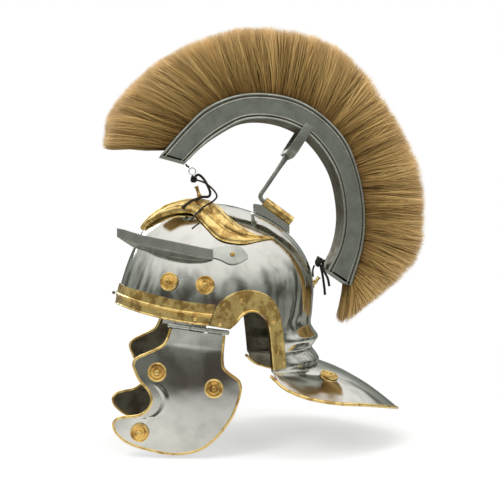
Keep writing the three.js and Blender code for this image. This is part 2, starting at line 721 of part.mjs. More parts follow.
function eyebrow(side) {
  return bentBox(14, WING_RELIEF.length - 1, (u, v, w) => {
    const column = (name) => smoothShare(EYEBROW, u, name);
    const x = THREE.MathUtils.lerp(column('outerX'), column('innerX'), v);
    const y = THREE.MathUtils.lerp(column('outerY'), column('innerY'), v);
    const relief = WING_RELIEF[Math.round(v * (WING_RELIEF.length - 1))];
    const p = fromAbove(x, y, SEAT + w * (1 + relief * column('height')));
    p.x = Math.max(p.x, 0.4) * side;
    return p;
  });
}

addPiece(helmet, 'eyebrow_left', eyebrow(1), BRASS);
addPiece(helmet, 'eyebrow_right', eyebrow(-1), BRASS);

// Rosettes and rivets
function rosetteShape() {
  const r = ROSETTE_RADIUS;
  return turned([
    [0, 0],
    [r, 0],
    [r - 0.6, 2.2],
    [r - 3.6, 1.2],
    [r - 5, 3.2],
    [2.8, 3.5],
    [0, 5.6],
  ], ROSETTE_SEGMENTS);
}

function rivetShape(radius) {
  return turned([
    [0, 0],
    [radius, 0],
    [radius * 0.75, radius * 0.6],
    [0, radius * 0.85],
  ], 8);
}

for (const [word, side] of [['left', 1], ['right', -1]]) {
  const bandSeat = fromSide(BAND_RIVET.y, BAND_RIVET.z, SEAT + SHEET + 0.4 + GAP, side);
  const bandRivet = addPiece(helmet, `rivet_band_${word}`, rivetShape(2.2), BRASS);
  standOn(bandRivet, bandSeat, bowlNormal(bandSeat));
  BOWL_ROSETTES.forEach((place, i) => {
    const seat = fromSide(place.y, place.z, SEAT, side);
    const piece = addPiece(helmet, `rosette_bowl_${word}_${i + 1}`, rosetteShape(), BRASS);
    standOn(piece, seat, bowlNormal(seat));
  });
  EAR_RIVETS.forEach((place, i) => {
    const seat = fromSide(place.y, place.z, EAR_SEAT + SHEET + GAP, side);
    const piece = addPiece(helmet, `rivet_ear_${word}_${i + 1}`, rivetShape(2.6), BRASS);
    standOn(piece, seat, bowlNormal(seat));
  });
  const browSeat = fromSide(9, -59, 2 * SEAT + SHEET, side);
  const browRivet = addPiece(helmet, `rivet_brow_${word}`, rivetShape(3.0), BRASS);
  standOn(browRivet, browSeat, bowlNormal(browSeat));

  const neckTurn = side > 0 ? NECK_ROSETTE.angle : 360 - NECK_ROSETTE.angle;
  const neckSeat = neckPoint(neckTurn, NECK_ROSETTE.across, 0);
  const inward = neckPoint(neckTurn, NECK_ROSETTE.across - 0.1, 0);
  const onward = neckPoint(neckTurn + 2, NECK_ROSETTE.across, 0);
  const neckNormal = onward.sub(neckSeat).cross(inward.sub(neckSeat)).normalize();
  if (neckNormal.z < 0) {
    neckNormal.negate();
  }
  const neckRosette = addPiece(helmet, `rosette_neck_${word}`, rosetteShape(), BRASS);
  standOn(neckRosette, neckSeat.addScaledVector(neckNormal, SEAT), neckNormal);
}

// Cheek guards, built round their hinge line: x out from the face, y along the hinge, z up
const hingeAlong = HINGE_REAR.clone().sub(HINGE_FRONT).normalize();
const hingeMiddle = HINGE_REAR.clone().add(HINGE_FRONT).multiplyScalar(0.5);
const straightUp = new THREE.Vector3(Math.sin(radians(CHEEK_LEAN)), 0, Math.cos(radians(CHEEK_LEAN)));
const hingeUp = straightUp.clone().addScaledVector(hingeAlong, -straightUp.dot(hingeAlong)).normalize();
const hingeOut = hingeAlong.clone().cross(hingeUp).normalize();

function hingeGroup(side) {
  const group = new THREE.Group();
  const mirror = (v) => new THREE.Vector3(v.x * side, v.y, v.z);
  const basis = new THREE.Matrix4().makeBasis(
    mirror(hingeOut),
    mirror(hingeAlong).multiplyScalar(side),
    mirror(hingeUp),
  );
  group.quaternion.setFromRotationMatrix(basis);
  group.position.copy(mirror(hingeMiddle));
  helmet.add(group);
  return group;
}

// How far the cheek plate's inner face stands out from the hinge line
function cheekDish(along, down) {
  const stepOut = CHEEK_STEP_OUT * THREE.MathUtils.clamp(down / CHEEK_BEND, 0, 1);
  const fall = THREE.MathUtils.clamp((down - CHEEK_BEND) / 124, 0, 1);
  const sideways = 1 - ((along + 10) / 75) ** 2;
  return stepOut + CHEEK_BULGE * sideways * Math.sin(Math.PI * fall) ** 0.8 - 0.5;
}

function cheekPoint(side, along, down, lift) {
  return new THREE.Vector3(cheekDish(along, down) + lift, along * side, -down);
}

// The outline's points, down the front edge and up the rear one, moved inward by an inset
function cheekOutline(inset) {
  const front = CHEEK_ROWS.map((row) => new THREE.Vector2(row.front, row.down));
  const rear = CHEEK_ROWS.map((row) => new THREE.Vector2(row.rear, row.down)).reverse();
  const points = [...front, ...rear];
  return points.map((p, i) => {
    const before = points[Math.max(i - 1, 0)];
    const after = points[Math.min(i + 1, points.length - 1)];
    const along = after.clone().sub(before).normalize();
    return new THREE.Vector2(p.x + along.y * inset, p.y - along.x * inset);
  });
}

function cheekPlate(side) {
  const outline = cheekOutline(RIM_WIDTH + GAP);
  const count = CHEEK_ROWS.length;
  return bentBox(3, count - 1, (u, v, w) => {
    const row = Math.round(v * (count - 1));
    const p = outline[row].clone().lerp(outline[2 * count - 1 - row], u);
    return cheekPoint(side, p.x, p.y, w * SHEET);
  });
}

function cheekRim(side) {
  const outer = cheekOutline(0);
  const inner = cheekOutline(RIM_WIDTH);
  const section = [[0, 0], [1, 0], [1, 1], [0, 1]];
  const low = (SHEET - RIM_HEIGHT) / 2;
  return sweep(section, outer.length - 1, (t, a, b) => {
    const i = Math.round(t * (outer.length - 1));
    const p = outer[i].clone().lerp(inner[i], a);
    return cheekPoint(side, p.x, p.y, low + b * RIM_HEIGHT);
  });
}

// A rolled knuckle round the hinge line
function knuckle(side, span) {
  const from = Math.min(span.from * side, span.to * side);
  const to = Math.max(span.from * side, span.to * side);
  const ring = [
    new THREE.Vector2(KNUCKLE_BORE, from),
    new THREE.Vector2(KNUCKLE_RADIUS, from),
    new THREE.Vector2(KNUCKLE_RADIUS, to),
    new THREE.Vector2(KNUCKLE_BORE, to),
    new THREE.Vector2(KNUCKLE_BORE, from),
  ];
  return solid(new THREE.LatheGeometry(ring, HINGE_SIDES));
}

// The cheek's leaf lies against the plate's inner face and stops short of the middle knuckle
function cheekLeaf(side, from, to, top) {
  return bentBox(1, 2, (u, v, w) => {
    const down = THREE.MathUtils.lerp(top, 14, v);
    const along = THREE.MathUtils.lerp(from, to, u);
    return cheekPoint(side, along, down, -GAP - w * LEAF);
  });
}

function helmetLeaf(side) {
  const leaf = new THREE.BoxGeometry(LEAF, 16, 10.6);
  return solid(leaf, (p) => new THREE.Vector3(p.x + 0.4, p.y + 0.2 * side, p.z + 6.9));
}

for (const [word, side] of [['left', 1], ['right', -1]]) {
  const group = hingeGroup(side);
  addPiece(group, `cheek_plate_${word}`, cheekPlate(side), STEEL);
  addPiece(group, `cheek_rim_${word}`, cheekRim(side), BRASS);
  const leaf = joined(
    knuckle(side, FRONT_KNUCKLE),
    knuckle(side, REAR_KNUCKLE),
    cheekLeaf(side, -28, -9.8, 1.7),
    cheekLeaf(side, 10.2, 27, 1.7),
    cheekLeaf(side, -11, 11.4, 3.6),
  );
  addPiece(group, `cheek_hinge_${word}`, leaf, DARK_STEEL);
  addPiece(group, `hinge_leaf_${word}`, joined(knuckle(side, MIDDLE_KNUCKLE), helmetLeaf(side)), DARK_STEEL);
  const pin = new THREE.CylinderGeometry(PIN_RADIUS, PIN_RADIUS, 69.2, HINGE_SIDES);
  addPiece(group, `hinge_pin_${word}`, solid(pin), DARK_STEEL);
  CHEEK_ROSETTES.forEach((place, i) => {
    const seat = cheekPoint(side, place.along, place.down, SHEET);
    const lower = cheekPoint(side, place.along, place.down + 4, SHEET).sub(seat);
    const onward = cheekPoint(side, place.along + 4, place.down, SHEET).sub(seat);
    const normal = lower.cross(onward).normalize();
    if (normal.x < 0) {
      normal.negate();
    }
    const piece = addPiece(group, `rosette_cheek_${word}_${i + 1}`, rosetteShape(), BRASS);
    standOn(piece, seat.addScaledVector(normal, SEAT), normal);
  });
}

// Crest box: a curved trough with beaded sides, open on its outer side for the hair
function crestPoint(t, a, b) {
  const y = THREE.MathUtils.lerp(smoothShare(CREST_ROWS, t, 'innerY'), smoothShare(CREST_ROWS, t, 'outerY'), b);
  const z = THREE.MathUtils.lerp(smoothShare(CREST_ROWS, t, 'innerZ'), smoothShare(CREST_ROWS, t, 'outerZ'), b);
  return new THREE.Vector3(a, y, z);
}

const CREST_SIDE = [
  [0, 0],
  [CREST_BEAD, 0.03],
  [CREST_BEAD, 0.12],
  [0, 0.15],
  [0, 0.84],
  [CREST_BEAD, 0.87],
  [CREST_BEAD, 0.97],
  [0, 1],
];
const crestSection = [
  ...CREST_SIDE.map(([bead, b]) => [CREST_HALF_WIDTH + bead, b]),
  ...[...CREST_SIDE].reverse().map(([bead, b]) => [-CREST_HALF_WIDTH - bead, b]),
];
const troughHalf = CREST_HALF_WIDTH - CREST_WALL;
const TROUGH_FROM = 0.006;
const TROUGH_FLOOR = 0.12;
const troughSection = [
  [-troughHalf, TROUGH_FLOOR],
  [troughHalf, TROUGH_FLOOR],
  [troughHalf, 1.1],
  [-troughHalf, 1.1],
];

function troughShare(t, end) {
  return THREE.MathUtils.lerp(end, 1 - end, t);
}

const crestBar = sweep(crestSection, CREST_STEPS, crestPoint);
const trough = sweep(troughSection, CREST_STEPS, (t, a, b) => crestPoint(troughShare(t, TROUGH_FROM), a, b));
addPiece(helmet, 'crest_box', cut(crestBar, trough), DARK_STEEL);

// Crest hair: locks that fan out from a backing in the trough
const BACKING_FROM = 0.0075;
const hairHalf = troughHalf - GAP - 0.1;
const backingSection = [
  [-hairHalf, TROUGH_FLOOR + 0.02],
  [hairHalf, TROUGH_FLOOR + 0.02],
  [hairHalf, 1],
  [-hairHalf, 1],
];
const backing = sweep(backingSection, CREST_STEPS, (t, a, b) => crestPoint(troughShare(t, BACKING_FROM), a, b));

const HAIR_ROWS = [
  { rise: 0, across: hairHalf - 0.4, groove: 1, bulge: 0 },
  { rise: 0.1, across: HAIR_ROOT_HALF + 1, groove: 0.93, bulge: 5 },
  { rise: 0.75, across: HAIR_TIP_HALF, groove: 0.86, bulge: 4 },
  { rise: 1, across: HAIR_TIP_HALF * 0.62, groove: 0.75, bulge: 0 },
];

// Odd columns lie in the grooves between two locks, even ones on the locks
function hairPoint(u, v, w) {
  const column = Math.round(u * 2 * HAIR_LOCKS);
  const groove = column % 2 === 1;
  const row = HAIR_ROWS[Math.round(w * (HAIR_ROWS.length - 1))];
  const share = THREE.MathUtils.clamp(u, HAIR_END, 1 - HAIR_END);
  const root = crestPoint(share, 0, 0.93);
  const outward = crestPoint(share, 0, 1).sub(crestPoint(share, 0, 0)).normalize();
  const tip = new THREE.Vector3(0, smoothShare(HAIR_TIPS, u, 'y'), smoothShare(HAIR_TIPS, u, 'z'));
  const length = (groove ? 0.94 : 1) * (0.975 + 0.025 * Math.cos(2.4 * column));
  const p = root.lerp(tip, row.rise * length).addScaledVector(outward, row.bulge);
  const spread = 1 + 0.07 * row.rise * Math.sin(1.7 * column);
  p.x = (2 * v - 1) * row.across * (groove ? row.groove : 1) * spread;
  return p;
}

const brush = bentBox(2 * HAIR_LOCKS, 2, hairPoint, HAIR_ROWS.length - 1);
addPiece(helmet, 'crest_hair', joined(backing, brush), HAIR);

// Saddle and socket behind the crown
const socketAlong = new THREE.Vector3(0, Math.cos(radians(SOCKET_SLOPE)), Math.sin(radians(SOCKET_SLOPE)));
const socketFront = new THREE.Vector3(0, SOCKET_FRONT.y, SOCKET_FRONT.z);
const socketUp = new THREE.Vector3(0, -socketAlong.z, socketAlong.y);
const socketRing = [
  new THREE.Vector2(SOCKET_BORE, 0),
  new THREE.Vector2(SOCKET_RADIUS, 0),
  new THREE.Vector2(SOCKET_RADIUS, SOCKET_LENGTH),
  new THREE.Vector2(SOCKET_BORE, SOCKET_LENGTH),
  new THREE.Vector2(SOCKET_BORE, 0),
];
const socket = addPiece(helmet, 'crest_socket', solid(new THREE.LatheGeometry(socketRing, 14)), BRASS);
socket.position.copy(socketFront);
socket.quaternion.setFromUnitVectors(new THREE.Vector3(0, 1, 0), socketAlong);

function underSocket(distance, depth) {
  const p = socketFront.clone().addScaledVector(socketAlong, distance).addScaledVector(socketUp, -depth);
  return [p.y, p.z];
}

function onCrown(y, lift) {
  return [y, fromAbove(0, y).z + lift];
}

const saddleDepth = SOCKET_RADIUS + GAP;
const saddleOutline = [
  [48.2, 1.4],
  [53.8, 0.6],
  underSocket(-0.5, saddleDepth),
  underSocket(SOCKET_LENGTH - 0.5, saddleDepth),
  onCrown(90.4, GAP + 0.2),
  onCrown(80, GAP + 0.2),
  onCrown(70, GAP + 0.2),
  onCrown(60, GAP + 0.2),
  onCrown(52.2, GAP + 0.2),
  onCrown(48.8, GAP + 0.2),
];
const saddleHollow = [
  underSocket(-1, saddleDepth + 1.6),
  underSocket(SOCKET_LENGTH + 6, saddleDepth + 1.6),
  [98, -60],
  [55.5, -60],
];
const saddle = cut(
  sidePlate(saddleOutline, BRACKET_HALF_WIDTH),
  sidePlate(saddleHollow, BRACKET_HALF_WIDTH - 1.8),
);
addPiece(helmet, 'crest_bracket', saddle, DARK_STEEL);

// Crest fork: foot in the socket, bent stem, yoke and two tines that hold the crest box
const forkUp = new THREE.Vector3(0, Math.sin(radians(FORK_LEAN)), Math.cos(radians(FORK_LEAN)));
const forkAlong = new THREE.Vector3(0, forkUp.z, -forkUp.y);
const forkBase = new THREE.Vector3(0, FORK_BASE.y, FORK_BASE.z);
const stemBend = new THREE.Vector3(0, STEM_BEND.y, STEM_BEND.z);
const footEnd = socketFront.clone().addScaledVector(socketAlong, SOCKET_LENGTH - 1);
const BEND_RUN = 6;
const stemPath = new THREE.CurvePath();
const intoBend = stemBend.clone().addScaledVector(socketAlong, BEND_RUN);
const stemTop = forkBase.clone().addScaledVector(forkUp, 2);
const outOfBend = stemBend.clone().add(stemTop.clone().sub(stemBend).setLength(BEND_RUN));
stemPath.add(new THREE.LineCurve3(footEnd, intoBend));
stemPath.add(new THREE.QuadraticBezierCurve3(intoBend, stemBend, outOfBend));
stemPath.add(new THREE.LineCurve3(outOfBend, stemTop));
const stem = rod(stemPath, STEM_RADIUS, 8, 16);
const tineIn = CREST_HALF_WIDTH + CREST_BEAD + GAP + 0.1;
const tineOut = tineIn + TINE;
const forkOutline = [
  [-tineOut, TINE_TOP],
  [-tineOut, 8],
  [-tineOut + 7, 0],
  [tineOut - 7, 0],
  [tineOut, 8],
  [tineOut, TINE_TOP],
  [tineIn, TINE_TOP],
  [tineIn, YOKE + 3],
  [tineIn - 4, YOKE],
  [-tineIn + 4, YOKE],
  [-tineIn, YOKE + 3],
  [-tineIn, TINE_TOP],
];
const yoke = sweep(forkOutline, 1, (t, a, b) => new THREE.Vector3(a, 0, 0)
  .add(forkBase)
  .addScaledVector(forkUp, b)
  .addScaledVector(forkAlong, (t - 0.5) * FORK_WIDTH));
addPiece(helmet, 'crest_fork', joined(stem, yoke), DARK_STEEL);

// A turned hook that stands on the bowl
function hookShape(length) {
  return turned([
    [0, 0],
    [3.4, 0],
    [3.2, 1.4],
    [1.5, 2.4],
    [1.5, 0.4 * length],
    [2.6, 0.5 * length],
    [1.3, 0.62 * length],
    [1.3, length],
    [0, length],
  ], 8);
}

function leaning(angle) {
  return new THREE.Vector3(0, Math.sin(radians(angle)), Math.cos(radians(angle)));
}

const hookFront = addPiece(helmet, 'hook_front', hookShape(HOOK_FRONT.length), BRASS);
standOn(hookFront, fromAbove(0, HOOK_FRONT.y, SEAT), leaning(HOOK_FRONT.lean));
const hookRear = addPiece(helmet, 'hook_rear', hookShape(HOOK_REAR.length), BRASS);
standOn(hookRear, atAngle(180, HOOK_REAR.z, SEAT + 1.6), leaning(HOOK_REAR.lean));

// Knots, the front ring and the thongs of the two ties
function knotShape(radius) {
  return solid(new THREE.IcosahedronGeometry(radius, 1));
}

const knotFront = addPiece(helmet, 'knot_front', knotShape(KNOT_FRONT.radius), LEATHER);
knotFront.position.set(KNOT_FRONT.x, KNOT_FRONT.y, KNOT_FRONT.z);
const knotRear = addPiece(helmet, 'knot_rear', knotShape(KNOT_REAR.radius), LEATHER);
knotRear.position.set(KNOT_REAR.x, KNOT_REAR.y, KNOT_REAR.z);
const ring = new THREE.TorusGeometry(RING_FRONT.radius, RING_FRONT.wire, 5, 12);
const ringFront = addPiece(helmet, 'ring_front', solid(ring), DARK_STEEL);
ringFront.position.set(0, RING_FRONT.y, RING_FRONT.z);
ringFront.rotation.y = Math.PI / 2;

for (const thong of THONGS) {
  const points = thong.points.map(([x, y, z]) => new THREE.Vector3(x, y, z));
  const length = new THREE.CatmullRomCurve3(points).getLength();
  const steps = Math.ceil(length / (2.8 * thong.width));
  addPiece(helmet, thong.name, rod(points, thong.width / 2, 8, steps), LEATHER);
}

export default helmet;
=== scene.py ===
import math

import bpy
import numpy as np
from mathutils import Matrix, Vector


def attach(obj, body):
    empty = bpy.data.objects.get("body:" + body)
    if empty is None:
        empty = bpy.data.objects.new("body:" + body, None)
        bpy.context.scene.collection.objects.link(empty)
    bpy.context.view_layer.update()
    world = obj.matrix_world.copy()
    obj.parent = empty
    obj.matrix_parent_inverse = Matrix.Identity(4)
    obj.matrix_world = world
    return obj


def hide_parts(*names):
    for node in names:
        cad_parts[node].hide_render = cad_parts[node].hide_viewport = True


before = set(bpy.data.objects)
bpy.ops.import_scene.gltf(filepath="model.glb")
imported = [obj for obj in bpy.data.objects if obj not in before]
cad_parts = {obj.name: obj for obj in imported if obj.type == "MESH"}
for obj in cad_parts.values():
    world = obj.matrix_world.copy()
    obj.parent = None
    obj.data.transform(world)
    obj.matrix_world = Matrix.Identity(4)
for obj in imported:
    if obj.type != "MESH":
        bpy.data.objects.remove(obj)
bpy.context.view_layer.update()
scene = bpy.context.scene
MM = 0.001


# Camera. It stands level with the bowl on the wearer's left and looks slightly forward of the ear,
# at the angle the photograph was taken from.
OFF_SQUARE = math.radians(8.7)
DOWNWARD = math.radians(0.8)
look = Vector((-math.cos(OFF_SQUARE), math.sin(OFF_SQUARE), -math.sin(DOWNWARD)))
bpy.ops.object.camera_add(location=(1.105, -0.126, -0.039), rotation=look.to_track_quat("-Z", "Y").to_euler())
camera = bpy.context.object
camera.data.lens = 66.0
camera.data.sensor_width = 36.0
scene.camera = camera
scene.view_settings.view_transform = "Standard"


# Thongs. The crest's two ends are tied down with strips of black leather, cut about 2 to 3 mm wide,
# rubbed dark and slightly rough. Each tie is knotted and its ends lie loose on the bowl.
class Wire:
    """One output in a material's nodes, with arithmetic on it."""

    def __init__(self, tree, socket):
        self.tree = tree
        self.socket = socket

    def node(self, kind, settings, sockets, output=0):
        new = self.tree.nodes.new(kind)
        for name, value in settings.items():
            if name == "stops":
                ramp = new.color_ramp
                while len(ramp.elements) < len(value):
                    ramp.elements.new(0.5)
                for stop, (place, colour) in zip(ramp.elements, value):
                    stop.position = place
                    stop.color = (*colour, 1)
            else:
                setattr(new, name, value)
        for name, value in sockets.items():
            if isinstance(value, Wire):
                self.tree.links.new(value.socket, new.inputs[name])
            elif isinstance(value, tuple) and len(value) == 3 and new.inputs[name].type == "RGBA":
                new.inputs[name].default_value = (*value, 1)
            else:
                new.inputs[name].default_value = value
        return Wire(self.tree, new.outputs[output])

    def maths(self, operation, *values):
        return self.node("ShaderNodeMath", {"operation": operation}, dict(enumerate(values)))

    def __add__(self, other):
        return self.maths("ADD", self, other)

    def __radd__(self, other):
        return self.maths("ADD", other, self)

    def __rsub__(self, other):
        return self.maths("SUBTRACT", other, self)

    def __mul__(self, other):
        return self.maths("MULTIPLY", self, other)

    def __rmul__(self, other):
        return self.maths("MULTIPLY", other, self)

    def noise(self, scale, detail=3.0, roughness=0.55):
        return self.node("ShaderNodeTexNoise", {}, {
            "Vector": self, "Scale": scale, "Detail": detail, "Roughness": roughness})

    def stretched(self, x, y, z):
        return self.node("ShaderNodeMapping", {}, {"Vector": self, "Scale": (x, y, z)})

    def between(self, low, high):
        """0 below low, 1 above high, smooth between."""
        return self.node("ShaderNodeMapRange", {"interpolation_type": "SMOOTHSTEP"}, {
            "Value": self, "From Min": low, "From Max": high})

    def mixed(self, a, b):
        """Colour a where this is 0, colour b where it is 1."""
        return self.node("ShaderNodeMix", {"data_type": "RGBA"}, {0: self, 6: a, 7: b}, output=2)


def finish(name, metallic, coordinates="Object"):
    """A new material: the material, its coordinates and its shader."""
    material = bpy.data.materials.new(name)
    material.use_nodes = True
    tree = material.node_tree
    shader = tree.nodes["Principled BSDF"]
    shader.inputs["Metallic"].default_value = metallic
    place = tree.nodes.new("ShaderNodeTexCoord")
    return material, Wire(tree, place.outputs[coordinates]), shader


def connect(shader, **wires):
    for name, wire in wires.items():
        wire.tree.links.new(wire.socket, shader.inputs[name.replace("_", " ")])


def bumped(height, strength, distance):
    return height.node("ShaderNodeBump", {}, {"Height": height, "Strength": strength, "Distance": distance})


leather, spot, shader = finish("black_leather_thong", 0.0)
grain = spot.noise(900, 4)
worn = spot.noise(160, 3).between(0.45, 0.75)
connect(
    shader,
    Base_Color=worn.mixed((0.012, 0.010, 0.008), (0.045, 0.034, 0.024)),
    Roughness=0.5 + grain * 0.3,
    Normal=bumped(grain, 0.5, 0.0006),
)

THONGS = [
    {"name": "front_long", "width": 3.2, "far_end": "bare", "points": [
        (4.6, -25.5, 32.5), (6.3, -23.3, 34.7), (8.0, -21.0, 36.0), (9.6, -18.0, 34.3), (11.0, -15.0, 31.0),
        (12.5, -12.2, 26.7), (14.0, -10.0, 22.0), (15.4, -8.2, 17.5), (17.0, -7.5, 13.5), (18.9, -8.3, 11.0),
        (21.0, -10.0, 9.2), (23.5, -13.1, 8.7), (26.0, -17.0, 8.6), (29.0, -21.9, 7.2), (32.0, -27.0, 5.2),
        (35.0, -31.6, 3.1), (38.0, -36.0, 0.6), (40.5, -39.6, -2.1), (43.0, -43.0, -5.0),
    ]},
    {"name": "front_thin", "width": 2.2, "far_end": "bare", "points": [
        (4.4, -28.5, 29.0), (6.4, -26.7, 29.5), (8.5, -24.5, 29.6), (11.6, -19.5, 28.4), (15.0, -14.0, 26.0),
        (19.2, -8.4, 21.6), (24.0, -4.0, 16.5), (28.9, -1.8, 12.4), (34.0, -1.5, 8.6), (38.6, -4.0, 5.3),
        (43.0, -8.0, 2.2), (47.6, -13.4, -0.8), (52.0, -19.0, -4.0), (56.2, -23.1, -7.5),
        (60.0, -27.0, -11.4), (63.1, -31.5, -16.1), (66.0, -36.0, -21.0),
    ]},
    {"name": "rear_long", "width": 3.0, "far_end": "bare", "points": [
        (3.4, 130.6, -75.6), (3.7, 131.1, -77.7), (4.0, 131.5, -79.7), (4.3, 132.0, -81.8),
        (4.6, 132.4, -84.0), (4.8, 132.8, -86.5), (5.0, 133.2, -89.0), (5.1, 133.5, -91.6),
        (5.2, 133.8, -94.0), (5.3, 134.1, -96.1), (5.4, 134.3, -98.1), (5.5, 134.6, -100.0),
        (5.6, 134.8, -102.0), (5.7, 135.0, -104.0), (5.8, 135.1, -106.0), (5.9, 135.3, -108.0),
        (6.0, 135.4, -110.0),
    ]},
    {"name": "front_loop", "width": 2.2, "far_end": None, "points": [
        (0, -35.4, 49.1), (0, -33.4, 46.6), (0, -31, 45.3),
    ]},
    {"name": "rear_short", "width": 3.0, "far_end": None, "points": [
        (6.2, 132.6, -72.6), (9, 133.4, -80), (11, 137.5, -89), (11.6, 139.6, -99),
    ]},
    {"name": "rear_loop", "width": 2.2, "far_end": None, "points": [
        (-4.6, 124.4, -73.6), (-5.6, 122.6, -80), (-5.6, 123.2, -88),
    ]},
]


def smooth_line(points, pieces):
    """Points on the smooth curve through some points, the same number in each gap."""
    p = np.array(points, float)
    p = np.concatenate([[2 * p[0] - p[1]], p, [2 * p[-1] - p[-2]]])
    out = []
    for i in range(1, len(p) - 2):
        before, gap, after = [max(np.linalg.norm(p[i + k + 1] - p[i + k]) ** 0.5, 1e-6) for k in (-1, 0, 1)]
        chord = (p[i + 1] - p[i]) / gap
        leaving = ((p[i] - p[i - 1]) / before - (p[i + 1] - p[i - 1]) / (before + gap) + chord) * gap
        arriving = (chord - (p[i + 2] - p[i]) / (gap + after) + (p[i + 2] - p[i + 1]) / after) * gap
        for k in range(pieces):
            t = k / pieces
            out.append((2 * t**3 - 3 * t**2 + 1) * p[i] + (t**3 - 2 * t**2 + t) * leaving
                       + (3 * t**2 - 2 * t**3) * p[i + 1] + (t**3 - t**2) * arriving)
    out.append(p[-2])
    return np.array(out)


def cord_piece(name, points, width, material):
    """A round cord along some points, as a curve of one open spline."""
    line = bpy.data.curves.new(name, "CURVE")
    line.dimensions = "3D"
    line.bevel_depth = width / 2
    line.bevel_resolution = 3
    line.use_fill_caps = True
    spline = line.splines.new("POLY")
    spline.points.add(len(points) - 1)
    for slot, point in zip(spline.points, points):
        slot.co = (*point, 1)
    piece = bpy.data.objects.new(name, line)
    scene.collection.objects.link(piece)
    line.materials.append(material)
    return piece


for row in THONGS:
    route = smooth_line(row["points"], 2 if row["far_end"] else 5) * MM
    strand = cord_piece("strand_" + row["name"], route, row["width"] * MM, leather)
    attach(strand, "helmet")
    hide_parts("thong_" + row["name"])


# Bowl. It is raised from one steel plate of about 1.6 mm, planished and polished bright outside and left
# dull brown inside. Two ribs are raised across the nape and the neck guard flares out below them.
BOWL_CENTRE = -115
WALL = 1.6
SEAT = 0.6
BOWL_PROFILE = {
    "angle": [0, 15, 30, 45, 60, 75, 90],
    "front": [116.6, 118.2, 121.4, 120.6, 115.6, 114.2, 117.2],
    "side": [116.6, 115.8, 113.6, 110.4, 106.8, 104.2, 103.4],
    "back": [116.6, 115.6, 116.8, 119.6, 122.0, 122.4, 119.4],
}
NAPE_PROFILE = {
    "z": [-192, -185, -178, -171, -165, -158, -150, -143, -130, -115],
    "rear": [5.0, 7.4, 3.4, -1.2, 2.4, 6.2, 1.0, -2.5, -1.2, 0],
    "side": [4.2, 4.2, 2.4, 0.9, 1.8, 3.0, 1.4, 0.2, 0, 0],
}
NAPE_BOTTOM = -192
BROW_EDGE = [(-118, -116.6), (-100, -121.6), (-81, -126.4), (-63, -130.4), (-40, -134.0), (-17.5, -136.6)]
EAR_ARCH = {
    "step": list(range(11)),
    "inner_y": [4.5, 11.4, 16.6, 21.8, 29.0, 36.5, 42.6, 46.8, 49.0, 51.0, 52.4],
    "inner_z": [-140.5, -134.5, -127.6, -123.2, -121.8, -124.4, -130.0, -138.0, -152.0, -172.0, -188.0],
    "outer_y": [-17.0, -10.8, -1.0, 12.5, 27.0, 41.5, 54.0, 61.5, 65.3, 68.0, 69.4],
    "outer_z": [-136.4, -117.5, -106.5, -99.8, -98.3, -101.5, -110.5, -126.0, -146.0, -168.0, -187.0],
    "lip": [1.0, 1.6, 3.6, 4.8, 5.4, 5.6, 5.8, 6.0, 6.0, 6.0, 6.0],
}
NECK_START = 118
PLATE_START = 121
NECK_FOLD = -190.6
NECK_BULGE = 8
NECK_RIM = {
    "angle": [118, 124, 132, 142, 152, 162, 171, 180, 189],
    "x": [96, 112, 125, 127, 113, 84, 45, 0, -45],
    "y": [51, 64, 88, 120, 155, 190, 216, 228, 216],
    "z": [-194.5, -206, -215, -221, -226, -234, -243, -250, -243],
}


def column(table, key_name, key, name):
    """A table's column at keys between its rows, on a smooth curve."""
    keys = np.array(table[key_name], float)
    values = np.array(table[name], float)
    key = np.asarray(key, float)
    i = np.clip(np.searchsorted(keys, key, side="left") - 1, 0, len(keys) - 2)
    before = np.maximum(np.arange(len(keys)) - 1, 0)
    after = np.minimum(np.arange(len(keys)) + 1, len(keys) - 1)
    slopes = (values[after] - values[before]) / (keys[after] - keys[before])
    width = keys[i + 1] - keys[i]
    t = np.clip((key - keys[i]) / width, 0, 1)
    return ((2 * t**3 - 3 * t**2 + 1) * values[i] + (t**3 - 2 * t**2 + t) * width * slopes[i]
            + (3 * t**2 - 2 * t**3) * values[i + 1] + (t**3 - t**2) * width * slopes[i + 1])


def eased(x, low, high):
    t = np.clip((x - low) / (high - low), 0, 1)
    return t * t * (3 - 2 * t)


def bowl_reach(turn, tilt):
    """Distance from the bowl's centre to its outer face, by turn from the front and tilt from straight up."""
    tilt = np.degrees(tilt)
    front = column(BOWL_PROFILE, "angle", tilt, "front")
    back = column(BOWL_PROFILE, "angle", tilt, "back")
    side = column(BOWL_PROFILE, "angle", tilt, "side")
    long = np.where(np.cos(turn) >= 0, front, back)
    return 1 / np.hypot(np.cos(turn) / long, np.sin(turn) / side)


def nape_radius(turn, z):
    """Distance from the bowl's upright axis to its outer face below the centre."""
    share = eased(-np.cos(turn), 0.1, 1)
    fade = eased(-np.cos(turn), 0.5, 0.85)
    side = column(NAPE_PROFILE, "z", z, "side")
    rear = column(NAPE_PROFILE, "z", z, "rear")
    return bowl_reach(turn, math.pi / 2) + fade * (side + (rear - side) * share)


def outside_bowl(p):
    """Below 0 inside the bowl's outer face, above 0 outside it."""
    turn = np.arctan2(p[:, 0], -p[:, 1])
    flat = np.hypot(p[:, 0], p[:, 1])
    rise = p[:, 2] - BOWL_CENTRE
    low = flat - nape_radius(turn, np.maximum(p[:, 2], NAPE_BOTTOM))
    high = np.hypot(flat, rise) - bowl_reach(turn, np.arctan2(flat, np.maximum(rise, 0)))
    return np.where(rise < 0, low, high)


def bowl_normal(p):
    step = np.eye(3) * 0.4
    normal = np.stack([outside_bowl(p + step[k]) - outside_bowl(p - step[k]) for k in range(3)], axis=1)
    return normal / np.linalg.norm(normal, axis=1, keepdims=True)


